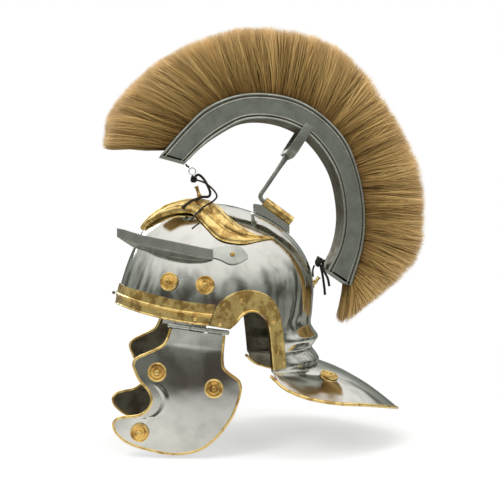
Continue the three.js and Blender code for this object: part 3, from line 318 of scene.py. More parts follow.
def leave_bowl(inside, outside, lift):
    """Where the way from inside to outside passes the bowl's face, lifted off it."""
    low = np.zeros((len(inside), 1))
    high = np.ones((len(inside), 1))
    for _ in range(30):
        middle = (low + high) / 2
        within = (outside_bowl(inside + (outside - inside) * middle) < 0)[:, None]
        low = np.where(within, middle, low)
        high = np.where(within, high, middle)
    p = inside + (outside - inside) * low
    return p + bowl_normal(p) * np.reshape(lift, (-1, 1))


def columns(*values):
    spread = np.broadcast_arrays(*[np.asarray(v, float) for v in values])
    return np.stack(spread, axis=-1).reshape(-1, len(values))


def from_side(y, z, lift, side=1):
    return leave_bowl(columns(0, y, z), columns(150 * side, y, z), np.broadcast_to(lift, np.shape(y)).ravel())


def from_above(x, y, lift):
    lifts = np.broadcast_to(lift, np.shape(x)).ravel()
    return leave_bowl(columns(x, y, BOWL_CENTRE + 1), columns(x, y, 40), lifts)


def at_angle(angle, z, lift):
    far = columns(170 * np.sin(np.radians(angle)), -170 * np.cos(np.radians(angle)), z)
    return leave_bowl(columns(0, 0, z), far, np.broadcast_to(lift, np.shape(angle)).ravel())


def pick(*pieces):
    """Selects some pieces alone, with the first one active."""
    bpy.ops.object.select_all(action="DESELECT")
    for piece in pieces:
        piece.select_set(True)
    bpy.context.view_layer.objects.active = pieces[0]


def edit(piece, step):
    """Runs a step in edit mode with all of a piece selected."""
    pick(piece)
    bpy.ops.object.mode_set(mode="EDIT")
    bpy.ops.mesh.select_all(action="SELECT")
    step()
    bpy.ops.object.mode_set(mode="OBJECT")


def move_points(piece, points):
    piece.data.vertices.foreach_set("co", (np.asarray(points) * MM).astype(np.float32).ravel())
    piece.data.update()


def points_of(piece):
    flat = np.empty(len(piece.data.vertices) * 3, np.float32)
    piece.data.vertices.foreach_get("co", flat)
    return flat.reshape(-1, 3).astype(float)


def formed_sheet(name, across, along, place):
    """A grid put in shape: place takes shares u across and v along, 0 to 1, and gives points in mm."""
    bpy.ops.object.select_all(action="DESELECT")
    bpy.ops.mesh.primitive_grid_add(x_subdivisions=across, y_subdivisions=along, size=1)
    piece = bpy.context.object
    piece.name = name
    flat = points_of(piece)
    move_points(piece, place(flat[:, 0] + 0.5, flat[:, 1] + 0.5))
    return piece


def apply(piece, kind, **settings):
    pick(piece)
    modifier = piece.modifiers.new(kind.lower(), kind)
    for name, value in settings.items():
        setattr(modifier, name, value)
    bpy.ops.object.modifier_apply(modifier=modifier.name)


def thickened(piece, wall, offset):
    apply(piece, "SOLIDIFY", thickness=wall * MM, offset=offset, use_even_offset=False)


def outwards(piece):
    def step():
        bpy.ops.mesh.remove_doubles(threshold=1e-6)
        bpy.ops.mesh.normals_make_consistent(inside=False)
    edit(piece, step)


def smoothed(piece, angle=35):
    pick(piece)
    bpy.ops.object.shade_smooth_by_angle(angle=math.radians(angle))


def joined(name, pieces):
    pick(*pieces)
    bpy.ops.object.join()
    pieces[0].name = name
    return pieces[0]


def given(piece, *materials):
    piece.data.materials.clear()
    for material in materials:
        piece.data.materials.append(material)


def fitted(piece, material, nodes, body="helmet"):
    """Gives a finished piece its material and its body, and hides the CAD nodes it stands for."""
    if material:
        given(piece, material)
    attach(piece, body)
    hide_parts(*nodes)


def polished_steel(name, light, dark, low, high):
    material, spot, shader = finish(name, 1.0)
    waves = spot.noise(16, 2, 0.5)
    clouds = spot.noise(45, 5, 0.6)
    scratches = spot.stretched(1, 1, 16).noise(220, 3, 0.6)
    specks = spot.noise(420, 3, 0.7).between(0.64, 0.76)
    connect(
        shader,
        Base_Color=(clouds.between(0.45, 0.75) * 0.5 + specks * 0.4).mixed(light, dark),
        Roughness=low + (high - low) * clouds.between(0.4, 0.8) + scratches * 0.04,
        Normal=bumped(waves * 0.7 + scratches * 0.01 + clouds * 0.03, 0.5, 0.005),
    )
    return material


bright_steel = polished_steel("polished_steel_plate", (0.82, 0.82, 0.77), (0.52, 0.53, 0.48), 0.025, 0.09)

inside_steel, spot, shader = finish("dull_steel_inside", 1.0)
rust = spot.noise(60, 6, 0.65).between(0.35, 0.7)
connect(
    shader,
    Base_Color=rust.mixed((0.20, 0.19, 0.14), (0.11, 0.085, 0.055)),
    Roughness=0.42 + rust * 0.22,
    Normal=bumped(spot.noise(300, 4), 0.3, 0.0008),
)

RINGS_ABOVE = 64
RINGS_BELOW = 46
rings = RINGS_ABOVE + RINGS_BELOW
bpy.ops.object.select_all(action="DESELECT")
bpy.ops.mesh.primitive_uv_sphere_add(segments=160, ring_count=rings, radius=1)
bowl = bpy.context.object
unit = points_of(bowl)
ring = np.round(np.arccos(np.clip(unit[:, 2], -1, 1)) / math.pi * rings)
turn = np.arctan2(unit[:, 0], -unit[:, 1])
tilt = math.pi / 2 * np.minimum(ring, RINGS_ABOVE) / RINGS_ABOVE
reach = bowl_reach(turn, tilt)
descent = np.clip((ring - RINGS_ABOVE) / (RINGS_BELOW - 1), 0, 1)
low_z = BOWL_CENTRE + (NAPE_BOTTOM + 1 - BOWL_CENTRE) * descent
below = ring > RINGS_ABOVE
radius = np.where(below, nape_radius(turn, low_z), reach * np.sin(tilt))
radius = np.where(ring == rings, 0, radius)
move_points(bowl, columns(
    radius * np.sin(turn),
    -radius * np.cos(turn),
    np.where(below, low_z, BOWL_CENTRE + reach * np.cos(tilt)),
))


def drop_floor():
    bpy.ops.mesh.select_all(action="DESELECT")
    bpy.ops.object.mode_set(mode="OBJECT")
    for face in bowl.data.polygons:
        face.select = face.normal.z < -0.98 and face.center.z < (NAPE_BOTTOM + 2) * MM
    bpy.ops.object.mode_set(mode="EDIT")
    bpy.ops.mesh.delete(type="FACE")


edit(bowl, drop_floor)
outwards(bowl)
thickened(bowl, WALL, -1)

arch_steps = np.linspace(0, 10, 60)
arch_y = column(EAR_ARCH, "step", arch_steps, "inner_y") + SEAT
arch_z = column(EAR_ARCH, "step", arch_steps, "inner_z") + SEAT
edge = [(-200, -100.6), *BROW_EDGE, *zip(arch_y, arch_z), (54, NAPE_BOTTOM), (200, NAPE_BOTTOM),
        (200, -300), (-200, -300)]
bpy.ops.mesh.primitive_circle_add(vertices=len(edge), fill_type="NGON")
cutter = bpy.context.object
move_points(cutter, [(-200, y, z) for y, z in edge])
edit(cutter, lambda: bpy.ops.mesh.extrude_region_move(TRANSFORM_OT_translate={"value": (0.4, 0, 0)}))
outwards(cutter)
apply(bowl, "BOOLEAN", object=cutter, operation="DIFFERENCE", solver="EXACT")
bpy.data.objects.remove(cutter)


def neck_edge(angle, inset):
    """The neck guard's rim by angle round the bowl, moved inward by an inset."""
    def rim_at(place, names):
        return np.stack([column(NECK_RIM, "angle", place, k) for k in names], axis=1)
    near = np.minimum(angle, 360 - angle)
    rim = rim_at(near, "xyz")
    along = rim_at(np.minimum(near + 0.5, 181), "xy") - rim_at(np.maximum(near - 0.5, NECK_START), "xy")
    along /= np.linalg.norm(along, axis=1, keepdims=True)
    rim[:, 0] -= along[:, 1] * inset
    rim[:, 1] += along[:, 0] * inset
    rim[:, 0] = np.where(angle > 180, -rim[:, 0], rim[:, 0])
    return rim


def neck_point(angle, across, inset=3.8):
    """A point on the neck guard's top face, by angle round the bowl and share from fold to rim."""
    turn = np.radians(angle)
    fold = nape_radius(turn, NECK_FOLD) - WALL / 2
    start = columns(fold * np.sin(turn), -fold * np.cos(turn), NECK_FOLD)
    p = start + (neck_edge(angle, inset) - start) * np.reshape(across, (-1, 1))
    rearward = eased(np.minimum(angle, 360 - angle), 125, 165)
    p[:, 2] += NECK_BULGE * rearward * np.sin(np.pi * np.asarray(across, float))
    return p


def neck_sheet(u, v):
    return neck_point(PLATE_START + u * (360 - 2 * PLATE_START), v, 2.5)


neck = formed_sheet("neck_sheet", 120, 24, neck_sheet)
outwards(neck)
thickened(neck, WALL, 0)
bowl = joined("bowl_plate", [bowl, neck])
given(bowl, bright_steel, inside_steel)
for face in bowl.data.polygons:
    middle = face.center
    axis = Vector((middle.x, middle.y, max(middle.z - BOWL_CENTRE * MM, 0)))
    inner = face.normal.dot(axis) < 0 if middle.z > -0.189 else face.normal.z < -0.3
    face.material_index = 1 if inner else 0
smoothed(bowl, 40)
fitted(bowl, None, ["bowl"])


# Band. A strip of sheet brass round the front of the bowl, riveted at both ends. It is pressed with a round
# bead, a finer one under it and a raised lower edge, and polished warm yellow. A dark knob is on its front.
brass, spot, shader = finish("polished_brass", 0.78)
waves = spot.noise(34, 2, 0.5)
# The dark brown blotches mixed into the brass colour are painted reflection: they stand in for the dark
# patches that polished brass mirrors.
painted_reflection_blotches = spot.noise(80, 3, 0.55).between(0.46, 0.62)
clouds = spot.noise(70, 5, 0.6)
scratches = spot.stretched(1, 1, 12).noise(260, 3, 0.6)
specks = spot.noise(380, 3, 0.7).between(0.6, 0.75)
connect(
    shader,
    Base_Color=(painted_reflection_blotches * 0.75 + specks * 0.15).mixed((1.0, 0.74, 0.28), (0.42, 0.22, 0.05)),
    Roughness=0.13 + 0.12 * clouds.between(0.4, 0.8) + scratches * 0.05,
    Normal=bumped(waves + clouds * 0.05 + scratches * 0.008, 0.6, 0.006),
)

SHEET = 1.4
BAND_EDGES = {
    "angle": [0, 20, 40, 58, 75, 90],
    "top": [-94.4, -96.6, -101.4, -107.6, -111.8, -114.2],
    "bottom": [-116.4, -119.6, -126.0, -131.6, -135.6, -138.2],
}


def ridge(v, middle, half):
    """A round ridge, 1 at its middle and 0 past its half width."""
    return np.sqrt(np.clip(1 - ((v - middle) / half) ** 2, 0, 1))


def band_point(u, v):
    end = 84.0 + (79.6 - 84.0) * v
    angle = (2 * u - 1) * end
    top = column(BAND_EDGES, "angle", np.abs(angle), "top")
    bottom = column(BAND_EDGES, "angle", np.abs(angle), "bottom")
    raised = 1.5 * ridge(v, 0.5, 0.06) + 0.5 * ridge(v, 0.6, 0.02) + 0.8 * ridge(v, 0.96, 0.035)
    return at_angle(angle, top + (bottom - top) * v, SEAT + SHEET + raised)


band = formed_sheet("band", 180, 56, band_point)
outwards(band)
thickened(band, SHEET, -1)
smoothed(band)
band.name = "band_strip"
fitted(band, brass, ["brow_band"])

bpy.ops.object.select_all(action="DESELECT")
bpy.ops.mesh.primitive_uv_sphere_add(
    segments=20, ring_count=12, radius=1.9 * MM, location=(0, -0.1215, -0.1050))
bpy.ops.object.transform_apply(location=True)
knob = bpy.context.object
smoothed(knob, 60)
knob.name = "band_knob"
knob.data.materials.append(inside_steel)
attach(knob, "helmet")


# Ear guards. Arched strips of the same brass over the ears, each held by four rivets, with the inner edge
# turned out as a lip and a low ridge along the outer edge.
def between_columns(table, step, near, far, across):
    """A value between two columns of a table, by step along it and share across."""
    return column(table, "step", step, near) * (1 - across) + column(table, "step", step, far) * across


def ear_guard_point(side):
    def place(u, v):
        step = 10 * u
        lip = column(EAR_ARCH, "step", step, "lip")
        turned_out = np.clip(v / 0.2, 0, 1)
        across = np.where(v < 0.2, 0.07 * eased(v, 0.1, 0.2), 0.07 + 0.93 * (v - 0.2) / 0.8)
        y = between_columns(EAR_ARCH, step, "inner_y", "outer_y", across)
        z = between_columns(EAR_ARCH, step, "inner_z", "outer_z", across)
        lift = 0.8 + SHEET + lip * (1 - turned_out) + 0.35 * ridge(v, 0.93, 0.05)
        return from_side(y, z, lift, side)
    return place


for word, side in (("left", 1), ("right", -1)):
    guard = formed_sheet("guard_" + word, 110, 26, ear_guard_point(side))
    outwards(guard)
    thickened(guard, 1.2, -1)
    smoothed(guard, 50)
    fitted(guard, brass, ["ear_guard_" + word])


# Eyebrows. Two wings hammered from thin sheet brass with two round ridges each. They meet over the brow and
# sweep back across the crown to a point above each ear.
EYEBROW = {
    "step": list(range(13)),
    "outer_x": [9, 20, 27, 33, 40, 47, 60, 72, 80, 84, 83, 75, 63.6],
    "outer_y": [-86, -76, -64, -52, -41, -31, -24, -16, -8, 4, 23, 42, 60],
    "inner_x": [0.8, 0.8, 0.8, 0.8, 0.8, 0.8, 14, 34, 50, 62, 69, 70, 62.4],
    "inner_y": [-84, -76, -66, -54, -41, -27, -6, 2, 7, 15, 27, 41, 60],
    "height": [3.4, 4.8, 5.8, 6.4, 6.6, 6.4, 5.6, 4.6, 4.2, 3.6, 3.0, 2.0, 1.0],
}


def eyebrow_point(side):
    def place(u, v):
        step = 12 * u
        x = between_columns(EYEBROW, step, "outer_x", "inner_x", v)
        y = between_columns(EYEBROW, step, "outer_y", "inner_y", v)
        relief = 0.85 * ridge(v, 0.2, 0.17) + ridge(v, 0.62, 0.2) + 0.28 * ridge(v, 0.42, 0.5)
        p = from_above(x, y, SEAT + 1 + relief * column(EYEBROW, "step", step, "height"))
        p[:, 0] = np.maximum(p[:, 0], 0.4) * side
        return p
    return place


for word, side in (("left", 1), ("right", -1)):
    wing = formed_sheet("wing_" + word, 110, 40, eyebrow_point(side))
    outwards(wing)
    thickened(wing, 1.0, -1)
    smoothed(wing, 45)
    fitted(wing, brass, ["eyebrow_" + word])


# Neck guard's edging. A brass channel about 4 mm wide, clenched round the rim of the neck guard and closed
# at both ends.
def swept(name, section, steps, place):
    """A closed section carried along a path: place takes share t and the section's values a and b."""
    count = len(section)
    section = np.array([*section, section[0]], float)

    def put(u, v):
        k = np.round(v * count).astype(int)
        return place(u, section[k, 0], section[k, 1])
    piece = formed_sheet(name, steps, count, put)

    def close():
        bpy.ops.mesh.remove_doubles(threshold=1e-6)
        bpy.ops.mesh.select_all(action="DESELECT")
        bpy.ops.mesh.select_non_manifold()
        bpy.ops.mesh.edge_face_add()
        bpy.ops.mesh.select_all(action="SELECT")
        bpy.ops.mesh.normals_make_consistent(inside=False)
    edit(piece, close)
    return piece


def round_section(width, height, sides=14):
    angle = np.linspace(0, 2 * math.pi, sides, endpoint=False)
    return [(width / 2 * (1 + math.cos(a)), height / 2 * math.sin(a)) for a in angle]


def neck_rim_place(t, a, b):
    p = neck_edge(NECK_START + t * (360 - 2 * NECK_START), a)
    p[:, 2] += b - 0.9
    return p


rim = swept("neck_edging", round_section(4.4, 4.0), 150, neck_rim_place)
smoothed(rim, 60)
fitted(rim, brass, ["neck_rim"])


# Rosettes. Each is a small brass boss with a raised rim, a groove, an inner ring and a domed button in its
# middle. Two stand on each side of the bowl and one on each side of the neck guard.
ROSETTE = [
    (10.6, 0.2), (10.6, 1.8), (10.2, 2.5), (9.6, 2.7), (9.0, 2.4), (8.7, 1.6), (8.1, 0.8), (6.9, 0.8),
    (6.5, 1.6), (6.3, 2.7), (5.8, 3.5), (5.1, 3.6), (4.5, 3.0), (4.0, 2.3), (3.2, 2.3), (3.0, 3.2),
    (2.8, 4.5), (2.1, 5.4), (1.1, 5.8),
]


def turned(name, rows, sides):
    """A turned piece: a ring extruded and resized row by row of radius and height, then closed."""
    bpy.ops.object.select_all(action="DESELECT")
    bpy.ops.mesh.primitive_circle_add(
        vertices=sides, radius=rows[0][0] * MM, location=(0, 0, rows[0][1] * MM), fill_type="NGON")
    piece = bpy.context.object
    piece.name = name
    bpy.ops.object.transform_apply(location=True)
    bpy.ops.object.mode_set(mode="EDIT")
    bpy.ops.mesh.select_all(action="SELECT")
    for (before, low), (radius, high) in zip(rows, rows[1:]):
        bpy.ops.mesh.extrude_region_move(TRANSFORM_OT_translate={"value": (0, 0, (high - low) * MM)})
        bpy.ops.transform.resize(value=(radius / before, radius / before, 1))
    bpy.ops.mesh.select_all(action="SELECT")
    bpy.ops.mesh.normals_make_consistent(inside=False)
    bpy.ops.object.mode_set(mode="OBJECT")
    return piece


def stood(piece, seat, normal):
    """Puts a piece that stands along +Z on a seat, given in mm, with its place in its mesh."""
    turn = Vector((0, 0, 1)).rotation_difference(Vector(normal)).to_matrix().to_4x4()
    piece.data.transform(Matrix.Translation(Vector(seat) * MM) @ turn)
    return piece


def set_rosette(name, seat, normal, lift, body="helmet"):
    """A rosette on its seat, lifted off it along the normal."""
    boss = stood(turned("boss", ROSETTE, 40), seat + normal * lift, normal)
    smoothed(boss, 30)
    boss.name = "boss_" + name
    fitted(boss, brass, ["rosette_" + name], body)


for word, side in (("left", 1), ("right", -1)):
    for i, (y, z) in enumerate([(-60.4, -88.7), (-22.0, -92.0)]):
        seat = from_side([y], [z], SEAT, side)
        set_rosette(f"bowl_{word}_{i + 1}", seat[0], bowl_normal(seat)[0], 0)
    angle = np.array([151.0 if side > 0 else 209.0])
    seat = neck_point(angle, 0.4)[0]
    normal = np.cross(neck_point(angle + 2, 0.4)[0] - seat, neck_point(angle, 0.3)[0] - seat)
    normal = normal / np.linalg.norm(normal) * np.sign(normal[2])
    set_rosette("neck_" + word, seat, normal, SEAT)


# Cheek guards. Each is a dished steel plate cut away at the front for the eye and the mouth, with a brass
# edging clenched round it and three rosettes.
HINGE_FRONT = np.array([90, -62.4, -136.1])
HINGE_REAR = np.array([101, 4.2, -144.9])
CHEEK_ROWS = {
    "down": [
        3.2, 12, 20, 26.4, 31.3, 37.4, 42.2, 48.8, 56.9, 64.9, 71.3, 78.2, 85.5, 93.5, 99.6, 102.9, 105.4,
        108.5, 115.7, 123.0, 129.8, 136.0, 139.6, 141.5, 142.8],
    "front": [
        -32.0, -33.5, -36.4, -44.3, -52.1, -62.1, -66.3, -67.1, -63.0, -57.6, -49.3, -43.6, -42.3, -45.0,
        -51.2, -59.4, -69.8, -76.9, -81.4, -79.5, -73.3, -62.9, -49.5, -35.3, -22.0],
    "rear": [
        30.6, 30.9, 31.2, 31.8, 32.6, 34.7, 41.0, 52.0, 56.2, 56.2, 55.3, 54.0, 52.3, 49.6, 46.6, 44.8, 43.4,
        41.6, 37.0, 30.9, 24.0, 14.0, 4.0, -4.0, -12.0],
    "step": list(range(25)),
}
CHEEK_ROSETTES = [(-38.5, 51.7), (25.5, 61.4), (-49.4, 121.0)]
hinge_along = (HINGE_REAR - HINGE_FRONT) / np.linalg.norm(HINGE_REAR - HINGE_FRONT)
hinge_middle = (HINGE_REAR + HINGE_FRONT) / 2
straight_up = np.array([math.sin(math.radians(2)), 0, math.cos(math.radians(2))])
hinge_up = straight_up - hinge_along * (straight_up @ hinge_along)
hinge_up /= np.linalg.norm(hinge_up)
hinge_out = np.cross(hinge_along, hinge_up)


def cheek_dish(along, down):
    """How far the plate's inner face stands out from the hinge line."""
    step_out = 5 * np.clip(down / 19, 0, 1)
    fall = np.clip((down - 19) / 124, 0, 1)
    sideways = 1 - ((along + 10) / 75) ** 2
    return step_out + 7 * sideways * np.sin(np.pi * fall) ** 0.8 - 0.5


def cheek_point(side, along, down, lift):
    along, down, lift = np.broadcast_arrays(*[np.asarray(v, float) for v in (along, down, lift)])
    out = cheek_dish(along, down) + lift
    p = hinge_middle + out[:, None] * hinge_out + along[:, None] * hinge_along - down[:, None] * hinge_up
    return p * np.array([side, 1, 1])


def cheek_outline(t, inset):
    """The outline, down the front and up the rear as t goes from 0 to 1, moved inward by an inset."""
    def at(t):
        step = np.where(t <= 0.5, 48 * t, 48 * (1 - t))
        front, rear, down = [column(CHEEK_ROWS, "step", step, k) for k in ("front", "rear", "down")]
        return np.stack([np.where(t <= 0.5, front, rear), down], axis=1)
    along = at(np.minimum(t + 0.004, 1)) - at(np.maximum(t - 0.004, 0))
    along /= np.linalg.norm(along, axis=1, keepdims=True)
    return at(t) + np.stack([along[:, 1], -along[:, 0]], axis=1) * np.reshape(inset, (-1, 1))


def cheek_plate_point(side):
    def place(u, v):
        front = cheek_outline(v / 2, 2.0)
        rear = cheek_outline(1 - v / 2, 2.0)
        p = front + (rear - front) * u[:, None]
        crease = ridge(u, 0.16, 0.035) * eased(v, 0.36, 0.42) * (1 - eased(v, 0.6, 0.66))
        return cheek_point(side, p[:, 0], p[:, 1], SHEET + 1.0 * crease)
    return place


def cheek_rim_place(side):
    def place(t, a, b):
        p = cheek_outline(t, a)
        return cheek_point(side, p[:, 0], p[:, 1], SHEET / 2 + b)
    return place


for word, side in (("left", 1), ("right", -1)):
    body = "cheek_" + word
    plate = formed_sheet("plate_" + word, 40, 110, cheek_plate_point(side))
    outwards(plate)
    normal = plate.data.polygons[len(plate.data.polygons) // 2].normal
    if normal.x * side < 0:
        edit(plate, bpy.ops.mesh.flip_normals)
    thickened(plate, SHEET, -1)
    given(plate, bright_steel, inside_steel)
    for face in plate.data.polygons:
        face.material_index = 1 if face.normal.x * side < -0.3 else 0
    smoothed(plate, 40)
    plate.name = "cheek_sheet_" + word
    fitted(plate, None, ["cheek_plate_" + word], body)
    edging = swept("edging_" + word, round_section(3.2, 3.2), 260, cheek_rim_place(side))
    smoothed(edging, 60)
    edging.name = "cheek_edging_" + word
    fitted(edging, brass, ["cheek_rim_" + word], body)
    for i, (along, down) in enumerate(CHEEK_ROSETTES):
        seat = cheek_point(side, [along], [down], [SHEET])[0]
        normal = np.cross(cheek_point(side, [along], [down + 4], [SHEET])[0] - seat,
                          cheek_point(side, [along + 4], [down], [SHEET])[0] - seat)
        normal = normal / np.linalg.norm(normal) * np.sign(normal[0]) * side
        set_rosette(f"cheek_{word}_{i + 1}", seat, normal, 0.3, body)


# Hinges. Each has three knuckles of rolled steel on a pin. The outer two belong to the leaf inside the cheek
# guard, and the middle one to the leaf inside the bowl. The steel is grey, with a satin sheen.
grey_steel, spot, shader = finish("satin_grey_steel", 0.8)
clouds = spot.noise(50, 5, 0.6)
scratches = spot.stretched(1, 12, 1).noise(240, 3, 0.6)
connect(
    shader,
    Base_Color=clouds.between(0.3, 0.7).mixed((0.62, 0.64, 0.58), (0.44, 0.455, 0.41)),
    Roughness=0.2 + 0.14 * clouds.between(0.3, 0.8) + scratches * 0.08,
    Normal=bumped(clouds * 0.3 + scratches * 0.05, 0.5, 0.0012),
)


def knuckle(side, start, end, radius=2.6):
    seat = (hinge_middle + hinge_along * start) * np.array([side, 1, 1])
    rows = [(radius - 0.5, 0), (radius, 0.5), (radius, end - start - 0.5), (radius - 0.5, end - start)]
    return stood(turned("knuckle", rows, 28), seat, hinge_along * np.array([side, 1, 1]))


def cheek_leaf(side, start, end, top):
    def place(u, v):
        return cheek_point(side, start + (end - start) * u, top + (14 - top) * v, -0.9)
    leaf = formed_sheet("leaf", 8, 8, place)
    outwards(leaf)
    thickened(leaf, 1.2, 0)
    return leaf


def helmet_leaf(side):
    def place(u, v):
        along = ((u - 0.5) * 16)[:, None] * hinge_along
        up = (1.6 + 10.6 * v)[:, None] * hinge_up
        return (hinge_middle + 0.4 * hinge_out + along + up) * np.array([side, 1, 1])
    leaf = formed_sheet("leaf", 2, 2, place)
    thickened(leaf, 1.2, 0)
    return leaf


for word, side in (("left", 1), ("right", -1)):
    rolled = joined("cheek_knuckles_" + word, [
        knuckle(side, -34, -9.4), knuckle(side, 9.8, 34), cheek_leaf(side, -28, -9.8, 2.2),
        cheek_leaf(side, 10.2, 27, 2.2), cheek_leaf(side, -11, 11.4, 3.8)])
    smoothed(rolled, 40)
    fitted(rolled, grey_steel, ["cheek_hinge_" + word], "cheek_" + word)
    fixed = joined("helmet_knuckle_" + word, [knuckle(side, -9, 9.4), helmet_leaf(side)])
    smoothed(fixed, 40)
    fitted(fixed, grey_steel, ["hinge_leaf_" + word])
    pin = knuckle(side, -34.6, 34.6, 1.1)
    pin.name = "pin_" + word
    smoothed(pin, 40)
    fitted(pin, grey_steel, ["hinge_pin_" + word])


# Brow guard. A peak of the same grey steel over the brow, an L-section strip whose face stands up at its
# front edge. A flat plate at each end is held to the bowl by one rivet.
BROW_GUARD = {
    "angle": [0, 20, 40, 58, 72, 82],
    "z": [-50.0, -51.8, -56.6, -61.2, -63.6, -63.2],
    "reach": [21.5, 21.5, 21.0, 18.0, 10.0, 0.4],
    "rise": [34, 31, 25, 22, 20, 12],
    "height": [9.6, 10.2, 10.8, 11.2, 11.2, 10.4],
}
EAR_PLATE = {
    "y": [-20.0, -12.5, -4.0, 5.0, 12.0, 20.0, 26.5],
    "low": [-62.8, -62.5, -65.0, -69.4, -69.6, -66.8, -63.6],
    "high": [-54.0, -51.5, -50.4, -49.0, -48.6, -51.4, -59.6],
}


def brow_guard_point(u, v):
    """v runs out along the plate to 0.6, then up the face."""
    angle = -82 + 164 * u
    size = {k: column(BROW_GUARD, "angle", np.abs(angle), k) for k in ("z", "reach", "rise", "height")}
    p = at_angle(angle, size["z"], SEAT)
    out = size["reach"] * np.clip(v / 0.6, 0, 1)
    up = size["height"] * np.clip((v - 0.6) / 0.4, 0, 1)
    flat = columns(np.sin(np.radians(angle)), -np.cos(np.radians(angle)), 0)
    rise = np.radians(size["rise"])
    p += flat * (out * np.cos(rise) + SHEET)[:, None]
    p[:, 2] += out * np.sin(rise) + up
    return p


def ear_plate_point(side):
    def place(u, v):
        y = -20 + 46.5 * u
        low = column(EAR_PLATE, "y", y, "low")
        high = column(EAR_PLATE, "y", y, "high")
        return from_side(y, low + (high - low) * v, SEAT + SHEET, side)
    return place


strip = formed_sheet("strip", 160, 20, brow_guard_point)
leaves = [formed_sheet("leaf", 40, 12, ear_plate_point(side)) for side in (1, -1)]
outwards(strip)
thickened(strip, SHEET, 0)
for leaf in leaves:
    outwards(leaf)
    thickened(leaf, SHEET, -1)
peak = joined("peak_strip", [strip, *leaves])
SHARP = math.radians(50)
apply(peak, "BEVEL", width=0.3 * MM, segments=2, limit_method="ANGLE", angle_limit=SHARP)
smoothed(peak, 40)
fitted(peak, grey_steel, ["brow_guard"])



# Hooks and knots. A turned brass hook stands on the brow and another on the back of the bowl. The ties are
# knotted to them in a tight bundle of leather loops.
for name, base, up, length in [("front", (0, -15.5, 0.8), (0, -0.309, 0.951), 23),
                               ("rear", (0, 119.9, -99.6), (0, 0.643, 0.766), 15)]:
    shaft = [(2.0, 0.36), (2.8, 0.42), (2.9, 0.52), (2.0, 0.6), (2.0, 0.9), (2.7, 0.93), (2.6, 0.98)]
    rows = [(3.6, 0), (3.4, 1.6), (2.2, 2.6), *[(r, share * length) for r, share in shaft], (1.2, length)]
    hook = stood(turned("hook", rows, 24), base, up)
    smoothed(hook, 40)
    hook.name = "tie_hook_" + name
    fitted(hook, brass, ["hook_" + name])

KNOTS = [("front", (0, -26.4, 31), 4.3, 1.5), ("rear", (0, 129.2, -69.5), 6.6, 1.6)]
KNOT_LOOPS = [(20, 0, 1), (95, 40, 0.9), (60, 110, 0.8), (140, 75, 1), (10, 150, 0.65)]
for name, middle, radius, strand in KNOTS:
    loops = []
    for k, (tip, turn, size) in enumerate(KNOT_LOOPS):
        bpy.ops.object.select_all(action="DESELECT")
        shift = Vector((0.5 * math.sin(3 * k), math.cos(2 * k), math.sin(2 * k))) * radius * 0.3 * MM
        bpy.ops.mesh.primitive_torus_add(
            location=Vector(middle) * MM + shift, rotation=(math.radians(tip), math.radians(turn), 0),
            major_segments=28, minor_segments=10, major_radius=(radius * size - strand) * 0.9 * MM,
            minor_radius=strand * MM)
        bpy.ops.object.transform_apply(location=True, rotation=True)
        loops.append(bpy.context.object)
    knot = joined("tie_knot_" + name, loops)
    smoothed(knot, 60)
    fitted(knot, leather, ["knot_" + name])


# Rivets, saddle, tube and ring. The rivets and the crest's tube are brass, the saddle under the tube is grey
# steel, and the small ring of the front tie is bright steel.
for name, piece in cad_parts.items():
    if name.startswith("rivet_") or name == "crest_socket":
        given(piece, brass)
given(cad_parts["crest_bracket"], grey_steel)
given(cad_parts["ring_front"], bright_steel)


# Crest box. A curved steel trough, folded and soldered, with two fine beads along both edges of its sides.
# It is open outward, and the hair's backing is wedged in it.
CREST_ROWS = {
    "step": list(range(12)),
    "outer_y": [-66.5, -38.4, -12.0, 22.0, 58.0, 97.0, 132.0, 160.0, 176.0, 182.0, 178.8, 164.8],
    "outer_z": [57.9, 90.5, 115.0, 130.0, 133.6, 126.7, 106.5, 75.0, 31.5, -12.8, -52.0, -98.6],
    "inner_y": [-36.1, -14.2, 6.0, 31.0, 57.0, 86.0, 112.6, 135.0, 149.5, 155.7, 149.8, 135.5],
    "inner_z": [49.9, 71.3, 86.0, 99.6, 102.8, 97.8, 84.0, 59.0, 29.0, -12.9, -50.0, -78.6],
}
CREST_HALF = 20


def crest_point(t, a, b):
    step = 11 * np.asarray(t, float)
    y = between_columns(CREST_ROWS, step, "inner_y", "outer_y", b)
    z = between_columns(CREST_ROWS, step, "inner_z", "outer_z", b)
    return columns(a, y, z)


def bead(low, high, height, points=5):
    angle = np.linspace(0, math.pi, points)
    middle = (low + high) / 2
    return [(CREST_HALF + height * math.sin(k), middle - (high - low) / 2 * math.cos(k)) for k in angle]


wall = [
    (CREST_HALF, 0), *bead(0.01, 0.085, 1.0),
    (CREST_HALF, 0.09), (CREST_HALF, 0.15), *bead(0.155, 0.195, 0.7),
    (CREST_HALF, 0.5), *bead(0.79, 0.84, 0.7),
    (CREST_HALF, 0.85), (CREST_HALF, 0.91), *bead(0.915, 0.99, 1.0),
    (CREST_HALF, 1),
]
trough = [(CREST_HALF - 1.2, 1), (CREST_HALF - 1.2, 0.12)]
section = [*wall, *trough, *[(-a, b) for a, b in reversed(trough)], *[(-a, b) for a, b in reversed(wall)]]
box = swept("box", section, 150, crest_point)


def end_plate(t_from, t_to):
    outline = [(CREST_HALF, 0), (CREST_HALF, 0.5), (CREST_HALF, 1),
               (-CREST_HALF, 1), (-CREST_HALF, 0.5), (-CREST_HALF, 0)]
    return swept("end", outline, 2, lambda t, a, b: crest_point(t_from + (t_to - t_from) * t, a, b))


